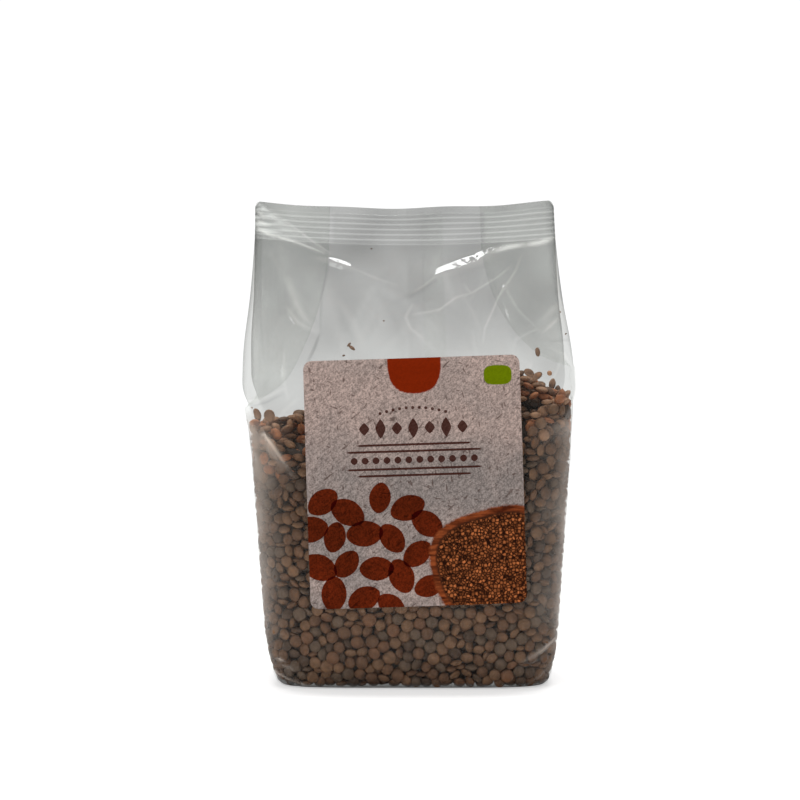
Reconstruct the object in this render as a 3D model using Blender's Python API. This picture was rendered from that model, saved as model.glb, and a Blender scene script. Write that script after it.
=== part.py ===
"""A clear, sealed, side-gusseted bag full of brown lentils, with a paper label on its front.

The bag is one closed solid out to its film. Below the fill line the film lies on lentils, so it
has bumps of their size. Above it the front and back panels lean together like a roof, the side
gussets fold inwards in a V, and a ribbed crimp seal closes the top. The label is a thin sheet.

Metres, +Z up, the front faces -Y, and the origin is under the middle of the bag on the floor.
The film is read as an unrolled sheet: "around" runs along its girth from the middle of the back,
over the left side, the front and the right side, and z is the height.
"""

import bisect
import math
import random

import bmesh
import bpy
from mathutils import Vector, geometry

# Driving sizes of the bag
PANEL_WIDTH = 0.113  # the front or back panel, and so the length of the top seal
GUSSET_WIDTH = 0.056  # each side panel
GIRTH = 2 * (PANEL_WIDTH + GUSSET_WIDTH)
BAG_HEIGHT = 0.179
SEAL_LOW = 0.1650  # lower edge of the crimp seal
FLAP_HEIGHT = 0.0022  # plain film above the ribs
SEAL_HALF_THICKNESS = 0.0006
LAYER_STEP = 0.00015  # the seal is thicker where the gussets lie in it
RIB_COUNT = 6
RIB_DEPTH = 0.00050  # from crest to trough
CORNER_LIFT = 0.0026  # how far the seal's ends stand above its middle

# The filled body: height, half width, half depth, squareness of the outline
BODY_PROFILE = (
    (0.0000, 0.0500, 0.0236, 5.0),
    (0.0012, 0.0512, 0.0255, 5.0),
    (0.0045, 0.0525, 0.0274, 4.9),
    (0.0110, 0.0544, 0.0289, 4.7),
    (0.0210, 0.0557, 0.0298, 4.5),
    (0.0470, 0.0575, 0.0302, 4.3),
    (0.0760, 0.0594, 0.0296, 4.2),
    (0.0930, 0.0605, 0.0285, 4.2),
    (0.1060, 0.0613, 0.0272, 4.6),
    (0.1200, 0.0608, 0.0250, 6.0),
)
ROOF_HALF_WIDTH = ((0.104, 0.0613), (0.129, 0.0604), (0.139, 0.0585), (0.165, 0.0564), (0.180, 0.0560))
MIDDLE_LINE = (  # the bag leans a little: x of its middle at each height
    (0.0, 0.0015),
    (0.020, 0.0009),
    (0.085, 0.0007),
    (0.105, 0.0),
    (0.139, -0.0010),
    (0.180, -0.0018),
)
BLEND_LOW, BLEND_HIGH = 0.090, 0.114  # the rounded body turns into the flat-sided roof here
SHOULDER_LEFT, SHOULDER_RIGHT = 0.1035, 0.1190  # height at which each gusset folds inwards
PANEL_SHOULDER = 0.1050  # height at which the front and back panels begin to lean
SOFT_START = 0.35  # the share of the roof over which the lean begins
SHOULDER_HALF_DEPTH = 0.0268
POCKET_TOP = SEAL_LOW - 0.0030  # the V of each gusset closes here, just under the seal
PILLOW = 0.0030  # how far the roof's panels bulge

# Lentils behind the film
FILL_LEFT, FILL_RIGHT = 0.0985, 0.1085
LENTIL_PITCH = 0.0048
BUMP_DEPTH = 0.00105
LOWEST_BUMP = 0.0050

# The paper label
LABEL_WIDTH, LABEL_HEIGHT = 0.0793, 0.0908
LABEL_CENTRE = (0.0021, 0.0770)
LABEL_TURN = math.radians(1.8)
LABEL_CORNER = 0.0030
LABEL_THICKNESS = 0.00030
LABEL_GAP = 0.00034
LABEL_COLUMNS, LABEL_ROWS = 14, 16

# Dents and creases of the front panel, as lines of places: x, height and depth
FRONT_CREASES = (
    ((0.0395, 0.1294, 0.0), (0.0485, 0.1317, 0.0015), (0.0578, 0.1280, 0.0)),
    ((0.0485, 0.1317, 0.0015), (0.0548, 0.1365, 0.0)),
    ((-0.0600, 0.1042, 0.0), (-0.0565, 0.1045, 0.0011), (-0.0455, 0.1098, 0.0)),
)

FRONT_SHIFT = 0.00032  # puts the middle of bag and label together on the origin

ARC_STEPS = 96  # straight steps to a quarter of an outline when its length is measured
HALF_PANEL, HALF_GUSSET = PANEL_WIDTH / 2, GUSSET_WIDTH / 2
LEFT_BACK = HALF_PANEL  # the four long folds, as distances around the film
LEFT_FRONT = LEFT_BACK + GUSSET_WIDTH
RIGHT_FRONT = LEFT_FRONT + PANEL_WIDTH
RIGHT_BACK = RIGHT_FRONT + GUSSET_WIDTH
RIBS_TOP = BAG_HEIGHT - FLAP_HEIGHT


def smooth_step(value, low, high):
    share = min(1.0, max(0.0, (value - low) / (high - low)))
    return share * share * (3 - 2 * share)


def along_table(rows, z):
    """The columns after the first of a table of heights, read at z."""
    if z <= rows[0][0]:
        return rows[0][1:]
    for (low, *first), (high, *second) in zip(rows, rows[1:]):
        if z <= high:
            share = (z - low) / (high - low)
            return [a + (b - a) * share for a, b in zip(first, second)]
    return rows[-1][1:]


QUARTERS = {}


def quarter_outline(profile):
    """A quarter of the body's outline, a superellipse, from the middle of a panel to the middle of
    a gusset, with the share of its length that each point has reached."""
    if profile not in QUARTERS:
        half_width, half_depth, squareness = profile
        points = []
        for i in range(ARC_STEPS + 1):
            angle = math.pi / 2 * math.sin(math.pi / 2 * i / ARC_STEPS) ** 2
            side, depth = abs(math.sin(angle)), abs(math.cos(angle))
            points.append((half_width * side ** (2 / squareness), half_depth * depth ** (2 / squareness)))
        lengths = [0.0]
        for first, second in zip(points, points[1:]):
            lengths.append(lengths[-1] + math.dist(first, second))
        QUARTERS[profile] = points, [length / lengths[-1] for length in lengths]
    return QUARTERS[profile]


def body_point(around, z):
    """The rounded body's film at a distance around it and a height."""
    points, shares = quarter_outline(tuple(along_table(BODY_PROFILE, z)))
    quarter, share = divmod(around / GIRTH % 1.0 * 4, 1.0)
    share = 1 - share if quarter in (1, 3) else share
    index = min(max(1, bisect.bisect_left(shares, share)), ARC_STEPS)
    step = (share - shares[index - 1]) / (shares[index] - shares[index - 1])
    x, y = [a + (b - a) * step for a, b in zip(points[index - 1], points[index])]
    return x if quarter > 1 else -x, -y if quarter in (1, 2) else y


def closed_share(z, shoulder):
    """How far a fold has closed at a height, 0 at its shoulder and 1 at the seal."""
    return min(1.0, max(0.0, (z - shoulder) / (SEAL_LOW - shoulder)))


def panel_closed_share(z):
    """How far the front and back panels have closed. The lean begins softly over the lentils."""
    share = closed_share(z, PANEL_SHOULDER)
    if share < SOFT_START:
        return share * share / (SOFT_START * (2 - SOFT_START))
    return (2 * share - SOFT_START) / (2 - SOFT_START)


def rib_wave(z):
    """The crimp's ribs: how far back the whole seal stands at a height."""
    if not SEAL_LOW <= z <= RIBS_TOP:
        return 0.0
    turns = (z - SEAL_LOW) / (RIBS_TOP - SEAL_LOW) * RIB_COUNT
    return -RIB_DEPTH * (1 - math.cos(2 * math.pi * turns)) / 2


def panel_depth(x, half_width, z):
    """How far a roof panel's film stands from the middle plane."""
    closed = panel_closed_share(z)
    bulge = PILLOW * math.cos(math.pi / 2 * x / half_width) * math.sin(math.pi * closed)
    lean = (SHOULDER_HALF_DEPTH - SEAL_HALF_THICKNESS) * (1 - closed)
    layers = LAYER_STEP if z > SEAL_LOW and abs(x) > half_width - HALF_GUSSET else 0.0
    return SEAL_HALF_THICKNESS + lean + bulge + layers


def gusset_point(inward, side, half_width, z):
    """A folded gusset's film at a distance inward from its nearer long fold, as x and depth."""
    edge_depth = panel_depth(side * half_width, half_width, z)
    share = inward / HALF_GUSSET
    if z > POCKET_TOP:  # inside the seal the gusset's layers are one with the panels
        return side * half_width, edge_depth * (1 - share)
    closed = closed_share(z, SHOULDER_LEFT if side < 0 else SHOULDER_RIGHT)
    fold_depth = HALF_GUSSET * math.sqrt(1 - (1 - closed) ** 2)
    return side * (half_width - fold_depth * share), edge_depth * (1 - share)


def roof_point(around, z):
    """The roof's and the seal's film: two leaning panels and two folded gussets."""
    (half_width,) = along_table(ROOF_HALF_WIDTH, z)
    if around <= LEFT_BACK or around >= RIGHT_BACK:
        from_middle = -around if around <= LEFT_BACK else GIRTH - around
        x = from_middle / HALF_PANEL * half_width
        return x, panel_depth(x, half_width, z)
    if LEFT_FRONT <= around <= RIGHT_FRONT:
        x = (around - GIRTH / 2) / HALF_PANEL * half_width
        return x, -panel_depth(x, half_width, z)
    side, back = (-1, LEFT_BACK) if around < LEFT_FRONT else (1, RIGHT_BACK)
    from_back = abs(around - back)
    x, depth = gusset_point(min(from_back, GUSSET_WIDTH - from_back), side, half_width, z)
    return x, depth if from_back < HALF_GUSSET else -depth


def film_point(around, z):
    """The film's place in the bag."""
    share = smooth_step(z, BLEND_LOW, BLEND_HIGH)
    x, y = body_point(around, z) if share < 1 else (0.0, 0.0)
    if share > 0:
        roof_x, roof_y = roof_point(around, z)
        x, y = x + (roof_x - x) * share, y + (roof_y - y) * share
    (half_width,) = along_table(ROOF_HALF_WIDTH, z)
    lift = CORNER_LIFT * (min(1.0, abs(x) / half_width) ** 2 - 0.5) * smooth_step(z, 0.150, SEAL_LOW)
    (middle,) = along_table(MIDDLE_LINE, z)
    return Vector((x + middle, y + rib_wave(z) + FRONT_SHIFT, z + lift))


def film_normal(around, z):
    """The film's outward direction."""
    step = 0.0008
    along = film_point(around + step, z) - film_point(around - step, z)
    up = film_point(around, z + step) - film_point(around, z - step)
    return along.cross(up).normalized()


def fill_line(around):
    """Height of the lentils against the film at a distance around it."""
    x, _ = body_point(around, FILL_LEFT)
    across = (x / BODY_PROFILE[-2][1] + 1) / 2
    ripple = 0.0016 * math.sin(around * 210) + 0.0011 * math.sin(around * 397 + 1.3)
    return FILL_LEFT + (FILL_RIGHT - FILL_LEFT) * across + ripple


def label_place(across, up):
    """A place of the label's own sheet as x and z on the bag's front."""
    x = across * math.cos(LABEL_TURN) - up * math.sin(LABEL_TURN)
    z = across * math.sin(LABEL_TURN) + up * math.cos(LABEL_TURN)
    return LABEL_CENTRE[0] + x, LABEL_CENTRE[1] + z


def front_around(x, z):
    """The distance around the film at which its front passes x at a height."""
    low, high = LEFT_FRONT - HALF_GUSSET, RIGHT_FRONT + HALF_GUSSET
    for _ in range(30):
        middle = (low + high) / 2
        if film_point(middle, z).x < x:
            low = middle
        else:
            high = middle
    return (low + high) / 2


def behind_label(around, z, margin):
    """Whether the film lies behind the label, or within a margin around it."""
    if not LEFT_FRONT - HALF_GUSSET < around < RIGHT_FRONT + HALF_GUSSET:
        return False
    place = film_point(around, z)
    x, rise = place.x - LABEL_CENTRE[0], z - LABEL_CENTRE[1]
    across = x * math.cos(LABEL_TURN) + rise * math.sin(LABEL_TURN)
    up = -x * math.sin(LABEL_TURN) + rise * math.cos(LABEL_TURN)
    return abs(across) < LABEL_WIDTH / 2 + margin and abs(up) < LABEL_HEIGHT / 2 + margin


class FilmSheet:
    """Points and creases of the unrolled film. Each point has a depth behind the true surface."""

    def __init__(self):
        self.places = []
        self.depths = []
        self.creases = []

    def add(self, around, z, depth=0.0):
        self.places.append(Vector((around, z)))
        self.depths.append(depth)
        return len(self.places) - 1

    def add_crease(self, first, last):
        self.creases.append((self.add(*first), self.add(*last)))


def add_lentil_bumps(sheet):
    """Bumps in a jittered hexagonal layout: one high point to a lentil, with low points between."""
    draw = random.Random(11)
    columns = round(GIRTH / LENTIL_PITCH)
    pitch = GIRTH / columns
    row_height = pitch * math.sqrt(3) / 2
    points = ((0.0, 0.0, 0.0), (0.5, row_height / 3, BUMP_DEPTH), (0.5, -row_height / 3, BUMP_DEPTH))
    for row in range(int((FILL_RIGHT + 0.004 - LOWEST_BUMP) / row_height)):
        for column in range(columns):
            for step, rise, depth in points:
                at = (column + row % 2 / 2 + step + 0.25 + draw.uniform(-0.10, 0.10)) * pitch % GIRTH
                z = LOWEST_BUMP + (row + 0.5) * row_height + rise + draw.uniform(-0.09, 0.09) * pitch
                near_seam = min(at, GIRTH - at) < pitch / 4
                if z < LOWEST_BUMP or z > fill_line(at) or near_seam or behind_label(at, z, 0.0016):
                    continue
                sheet.add(at, z, depth * draw.uniform(0.75, 1.1))


def add_foot_rows(sheet):
    """The smooth, rounded foot below the first bumps."""
    columns = 72
    for z in (0.0, 0.0012, 0.0028):
        for column in range(1, columns):
            sheet.add(column * GIRTH / columns, z)


def add_label_ground(sheet):
    """The smooth film behind the label."""
    for column in range(LABEL_COLUMNS):
        for row in range(LABEL_ROWS):
            across = (column / (LABEL_COLUMNS - 1) - 0.5) * (LABEL_WIDTH + 0.0018)
            up = (row / (LABEL_ROWS - 1) - 0.5) * (LABEL_HEIGHT + 0.0018)
            x, z = label_place(across, up)
            sheet.add(front_around(x, z), z)


def add_roof_rows(sheet):
    """The leaning panels and the folded gussets."""
    for z in (0.1140, 0.1190, 0.1240, 0.1290, 0.1350, 0.1410, 0.1480, 0.1550):
        for first, last, count in ((0, LEFT_BACK, 7), (LEFT_FRONT, RIGHT_FRONT, 14), (RIGHT_BACK, GIRTH, 7)):
            for i in range(count + 1):
                around = first + (last - first) * i / count
                if 0 < around < GIRTH and not behind_label(around, z, 0.0016):
                    sheet.add(around, z)
    gussets = ((LEFT_BACK, LEFT_FRONT, SHOULDER_LEFT), (RIGHT_FRONT, RIGHT_BACK, SHOULDER_RIGHT))
    for first, last, shoulder in gussets:
        for share in (0.0, 0.02, 0.05, 0.10, 0.18, 0.30, 0.45, 0.62, 0.80, 1.0):
            z = shoulder + (POCKET_TOP - shoulder) * share
            for i in range(7):
                sheet.add(first + (last - first) * i / 6, z)
        middle = (first + last) / 2
        sheet.add_crease((middle, shoulder), (middle, POCKET_TOP))
        sheet.add_crease((first, shoulder), (first, BAG_HEIGHT))
        sheet.add_crease((last, shoulder), (last, BAG_HEIGHT))


def add_front_creases(sheet):
    """The dents that folding left in the front panel above the lentils."""
    for line in FRONT_CREASES:
        places = [(front_around(x, z), z, depth) for x, z, depth in line]
        for first, last in zip(places, places[1:]):
            sheet.add_crease(first, last)


def seal_stops():
    """Distances around the seal at which each of its rows has a point. The front mirrors the back."""
    layers = HALF_PANEL - HALF_GUSSET  # the gussets' layers begin here
    stops = [layers * i / 4 for i in range(4)] + [layers - 0.0004, layers + 0.0004]
    stops += [layers + HALF_GUSSET * i / 4 for i in range(1, 5)]
    stops += [LEFT_BACK + HALF_GUSSET] + [GIRTH / 2 - stop for stop in reversed(stops)]
    return stops + [GIRTH - stop for stop in reversed(stops[1:-1])]


def add_seal_rows(sheet):
    """The crimp seal, with rows for its ribs, and the plain flap above."""
    rows = [SEAL_LOW + (RIBS_TOP - SEAL_LOW) * i / (RIB_COUNT * 2) for i in range(RIB_COUNT * 2 + 1)]
    for z in rows + [BAG_HEIGHT]:
        for around in seal_stops()[1:]:
            sheet.add(around, z)
    for around in seal_stops()[1:]:
        if not LEFT_BACK < around < LEFT_FRONT and not RIGHT_FRONT < around < RIGHT_BACK:
            sheet.add(around, POCKET_TOP)
    sheet.add_crease((0.0, SEAL_LOW), (GIRTH, SEAL_LOW))


def seam_depth(z):
    """Bumps along the middle of the back, where the sheet's two edges meet."""
    if not LOWEST_BUMP < z < fill_line(0.0):
        return 0.0
    return BUMP_DEPTH * (0.5 - 0.5 * math.cos(2 * math.pi * z / LENTIL_PITCH))


def unrolled_film():
    """All points of the film in one sheet, which is cut open along the middle of the back."""
    sheet = FilmSheet()
    add_foot_rows(sheet)
    add_lentil_bumps(sheet)
    add_label_ground(sheet)
    add_roof_rows(sheet)
    add_front_creases(sheet)
    add_seal_rows(sheet)
    heights = sorted({round(place.y, 9) for place in sheet.places if place.y > FILL_RIGHT + 0.004})
    heights = [z for i, z in enumerate(heights) if z > SEAL_LOW - 1e-6 or i % 2 == 0]
    heights += [0.0, 0.0012, 0.0028]
    heights += [LOWEST_BUMP + i * LENTIL_PITCH / 2 for i in range(int(0.108 / LENTIL_PITCH * 2))]
    for z in sorted(heights):
        for around in (0.0, GIRTH):
            sheet.add(around, z, seam_depth(z))
    return sheet


def material(name, colour, roughness, alpha=1.0):
    made = bpy.data.materials.new(name)
    made.use_nodes = True
    shader = made.node_tree.nodes["Principled BSDF"]
    shader.inputs["Base Color"].default_value = (*colour, 1)
    shader.inputs["Roughness"].default_value = roughness
    shader.inputs["Metallic"].default_value = 0.0
    shader.inputs["Alpha"].default_value = alpha
    return made


def object_from(bm, name, finish):
    bmesh.ops.recalc_face_normals(bm, faces=bm.faces)
    mesh = bpy.data.meshes.new(name)
    bm.to_mesh(mesh)
    bm.free()
    mesh.materials.append(finish)
    mesh.shade_smooth()
    mesh.set_sharp_from_angle(angle=math.radians(28))
    made = bpy.data.objects.new(name, mesh)
    bpy.context.scene.collection.objects.link(made)
    return made


def close_top(bm, ring):
    """The top edge: a strip between the front's and the back's uppermost points. The ring starts
    at the middle of the back and its two halves mirror each other in the side edges."""
    quarter = next(i for i, (around, _) in enumerate(ring) if around > LEFT_BACK + HALF_GUSSET - 1e-6)
    loop = [vertex for _, vertex in ring]
    loop = loop[quarter:] + loop[:quarter]
    front, back = 1, len(loop) - 1
    bm.faces.new((loop[0], loop[back], loop[front]))
    while back - front > 2:
        bm.faces.new((loop[front], loop[back], loop[back - 1], loop[front + 1]))
        front, back = front + 1, back - 1
    bm.faces.new((loop[front], loop[back], loop[front + 1]))


def bag():
    """The closed bag, from the flat underside of its foot to the seal's top edge."""
    sheet = unrolled_film()
    points, _, faces, origins, *_ = geometry.delaunay_2d_cdt(sheet.places, sheet.creases, [], 0, 1e-7)
    bm = bmesh.new()
    vertices, seam, rings = [], {}, {0.0: [], BAG_HEIGHT: []}
    for place, sources in zip(points, origins):
        around, z = place
        if GIRTH - around < 1e-7:
            around = 0.0
        key = round(z, 7)
        if around < 1e-7 and key in seam:
            vertices.append(seam[key])
            continue
        spot = film_point(around, z)
        depth = max((sheet.depths[source] for source in sources), default=0.0)
        if depth:
            spot -= film_normal(around, z) * depth
        vertices.append(bm.verts.new(spot))
        if around < 1e-7:
            seam[key] = vertices[-1]
        for level, ring in rings.items():
            if abs(z - level) < 1e-7:
                ring.append((around, vertices[-1]))
    for face in faces:
        corners = [vertices[i] for i in face]
        if len(set(corners)) == 3:
            bm.faces.new(corners)
    underside = [vertex for _, vertex in sorted(rings[0.0], key=lambda item: item[0])]
    centre = bm.verts.new(film_point(0, 0) * 0.5 + film_point(GIRTH / 2, 0) * 0.5)
    for first, second in zip(underside, underside[1:] + underside[:1]):
        bm.faces.new((first, second, centre))
    close_top(bm, sorted(rings[BAG_HEIGHT], key=lambda item: item[0]))
    bmesh.ops.triangulate(bm, faces=[face for face in bm.faces if len(face.verts) > 3])
    return object_from(bm, "bag", material("clear_film_over_lentils", (0.30, 0.22, 0.16), 0.25))


def rounded(across, up):
    """A place of a plain rectangle, from -1 to 1 each way, moved into the label's round corners."""
    x, y = across * LABEL_WIDTH / 2, up * LABEL_HEIGHT / 2
    inner_x, inner_y = LABEL_WIDTH / 2 - LABEL_CORNER, LABEL_HEIGHT / 2 - LABEL_CORNER
    over_x, over_y = abs(x) - inner_x, abs(y) - inner_y
    if over_x > 0 and over_y > 0:
        reach = math.hypot(over_x, over_y)
        scale = max(over_x, over_y) / reach
        x = math.copysign(inner_x + over_x * scale, x)
        y = math.copysign(inner_y + over_y * scale, y)
    return x, y


def label_stops(length, count):
    """Grid lines from -1 to 1, with one at each end of the round corners."""
    inner = 1 - 2 * LABEL_CORNER / length
    middle = [-inner + 2 * inner * i / (count - 1) for i in range(count)]
    edge = [inner + (1 - inner) * i / 3 for i in (1, 2, 3)]
    return [-stop for stop in reversed(edge)] + middle + edge


def label():
    """The thin paper label, which follows the front of the bag."""
    columns = label_stops(LABEL_WIDTH, LABEL_COLUMNS)
    rows = label_stops(LABEL_HEIGHT, LABEL_ROWS)
    bm = bmesh.new()
    sides = []
    for lift in (LABEL_GAP, LABEL_GAP + LABEL_THICKNESS):
        side = []
        for up in rows:
            row = []
            for across in columns:
                x, z = label_place(*rounded(across, up))
                around = front_around(x, z)
                row.append(bm.verts.new(film_point(around, z) + film_normal(around, z) * lift))
            side.append(row)
        sides.append(side)
    back, front = sides
    last_row, last_column = len(rows) - 1, len(columns) - 1
    for i in range(last_row):
        for j in range(last_column):
            bm.faces.new((front[i][j], front[i][j + 1], front[i + 1][j + 1], front[i + 1][j]))
            bm.faces.new((back[i][j], back[i + 1][j], back[i + 1][j + 1], back[i][j + 1]))
    rim = [(0, j) for j in range(last_column)] + [(i, last_column) for i in range(last_row)]
    rim += [(last_row, j) for j in range(last_column, 0, -1)] + [(i, 0) for i in range(last_row, 0, -1)]
    for (i, j), (k, m) in zip(rim, rim[1:] + rim[:1]):
        bm.faces.new((back[i][j], back[k][m], front[k][m], front[i][j]))
    return object_from(bm, "label", material("label_paper", (0.42, 0.33, 0.28), 0.9))


def build():
    for old in list(bpy.data.objects):
        bpy.data.objects.remove(old, do_unlink=True)
    bag()
    label()


build()
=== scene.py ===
"""Looks for a clear, side-gusseted bag of brown lentils: its film, its lentils, the loose bits in
the headspace and the printed paper label.

The film is read as an unrolled sheet, as in the part's source: "around" runs along its girth from
the middle of the back, over the left side, the front and the right side, and z is the height.
"""

import math

import bpy
import numpy as np
from bpy.props import FloatProperty, FloatVectorProperty, IntProperty, PointerProperty
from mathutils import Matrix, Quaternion, Vector, kdtree


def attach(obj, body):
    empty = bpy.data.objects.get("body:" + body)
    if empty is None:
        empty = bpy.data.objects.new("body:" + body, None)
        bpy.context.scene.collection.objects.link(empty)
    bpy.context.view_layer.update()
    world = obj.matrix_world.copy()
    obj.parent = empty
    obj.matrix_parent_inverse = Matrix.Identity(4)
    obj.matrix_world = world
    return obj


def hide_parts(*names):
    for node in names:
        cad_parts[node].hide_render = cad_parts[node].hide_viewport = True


bl_info = {
    "name": "Bag of brown lentils",
    "version": (1, 0, 0),
    "blender": (4, 5, 0),
    "location": "3D View > Sidebar > Lentil bag",
    "description": "Builds the film, lentils, label and stage of a bag of brown lentils",
    "category": "Object",
}

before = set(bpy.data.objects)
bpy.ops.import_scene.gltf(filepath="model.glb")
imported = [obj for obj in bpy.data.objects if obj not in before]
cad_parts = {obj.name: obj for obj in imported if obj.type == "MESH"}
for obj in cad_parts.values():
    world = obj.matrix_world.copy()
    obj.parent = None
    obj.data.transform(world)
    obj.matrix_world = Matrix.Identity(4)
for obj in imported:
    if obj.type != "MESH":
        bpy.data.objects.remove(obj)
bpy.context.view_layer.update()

# The bag's shape, as in the part's source
PANEL_WIDTH, GUSSET_WIDTH = 0.113, 0.056
GIRTH = 2 * (PANEL_WIDTH + GUSSET_WIDTH)
HALF_PANEL, HALF_GUSSET = PANEL_WIDTH / 2, GUSSET_WIDTH / 2
LEFT_BACK, LEFT_FRONT = HALF_PANEL, HALF_PANEL + GUSSET_WIDTH
RIGHT_FRONT, RIGHT_BACK = LEFT_FRONT + PANEL_WIDTH, LEFT_FRONT + PANEL_WIDTH + GUSSET_WIDTH
BAG_HEIGHT, SEAL_LOW, FLAP_HEIGHT = 0.179, 0.1650, 0.0022
RIB_COUNT, RIB_DEPTH, CORNER_LIFT = 6, 0.00075, 0.0026
BODY_PROFILE = np.array(
    (
        (0.0000, 0.0500, 0.0236, 5.0),
        (0.0012, 0.0512, 0.0255, 5.0),
        (0.0045, 0.0525, 0.0274, 4.9),
        (0.0110, 0.0544, 0.0289, 4.7),
        (0.0210, 0.0557, 0.0298, 4.5),
        (0.0470, 0.0575, 0.0302, 4.3),
        (0.0760, 0.0594, 0.0296, 4.2),
        (0.0930, 0.0605, 0.0285, 4.2),
        (0.1060, 0.0613, 0.0272, 4.6),
        (0.1200, 0.0608, 0.0250, 6.0),
    )
)
ROOF_HALF_WIDTH = np.array(
    ((0.104, 0.0613), (0.129, 0.0604), (0.139, 0.0585), (0.165, 0.0564), (0.180, 0.0560))
)
ROOF_RISE = np.linspace(0.080, 0.180, 401)
ROOF_REACH = np.convolve(
    np.interp(np.linspace(0.065, 0.195, 521), ROOF_HALF_WIDTH[:, 0], ROOF_HALF_WIDTH[:, 1]),
    np.hanning(121) / np.hanning(121).sum(), "valid",
)
MIDDLE_LINE = np.array(
    ((0.0, 0.0015), (0.02, 0.0009), (0.085, 0.0007), (0.105, 0.0), (0.139, -0.001), (0.18, -0.0018))
)
BLEND_LOW, BLEND_HIGH = 0.090, 0.114
SHOULDER_LEFT, SHOULDER_RIGHT, PANEL_SHOULDER = 0.1035, 0.1190, 0.1050
SOFT_START, SHOULDER_HALF_DEPTH, PILLOW = 0.35, 0.0268, 0.0030
SEAL_HALF_THICKNESS = 0.0003
FRONT_SHIFT = 0.00032
FILM_CLEARANCE = 0.00022

LABEL_WIDTH, LABEL_HEIGHT, LABEL_TURN = 0.0793, 0.0908, math.radians(1.8)
LABEL_CENTRE, LABEL_CORNER = (0.0021, 0.0770), 0.0030
BACKING_LIFT, BACKING_INSET = 0.00027, 0.0003

# The outlines of the filled part are kept in a table: its top height, rows and columns
TABLE_TOP, TABLE_ROWS, TABLE_COLUMNS = 0.125, 500, 128

# The lap down the back: distances of its edges from the panel's middle, its lift off the film, and
# the height and length of its crimps
LAP_EDGES, LAP_LIFT, CRIMP_HEIGHT, CRIMP_LENGTH = (0.0142, 0.0062), 0.00035, 0.00005, 0.0018

# The strong fold on the left: a place on it in x and z, the way across it and that way's length
FOLD_PLACE, FOLD_ACROSS, FOLD_SCALE = (-0.0591, 0.0992), (0.0157, 0.0139), 0.02097

# Packing: the layers' first depth and step, the height of a row of discs as a share of their pitch,
# and how far down and how far to the front and back the heap's own kinds of lentil reach
PACK_SEED, FIRST_DEPTH, LAYER_STEP, ROW_SHARE = 7, 0.0014, 0.0026, 0.866
HEAP_SHELL, HEAP_HALF_DEPTH = 0.012, 0.0235
QUICK_ROUNDS, FULL_ROUNDS = 40, 110
CORE_INSET, CORE_BELOW_TOP, CORE_COLUMNS, CORE_ROWS = 0.0074, 0.0085, 96, 34

VIEW_ANGLE, VIEW_DISTANCE, VIEW_TILT = math.radians(19.71), 0.85, math.radians(4)
VIEW_AIM, SENSOR_WIDTH = (-0.0034, -0.02, 0.1068), 36

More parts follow.
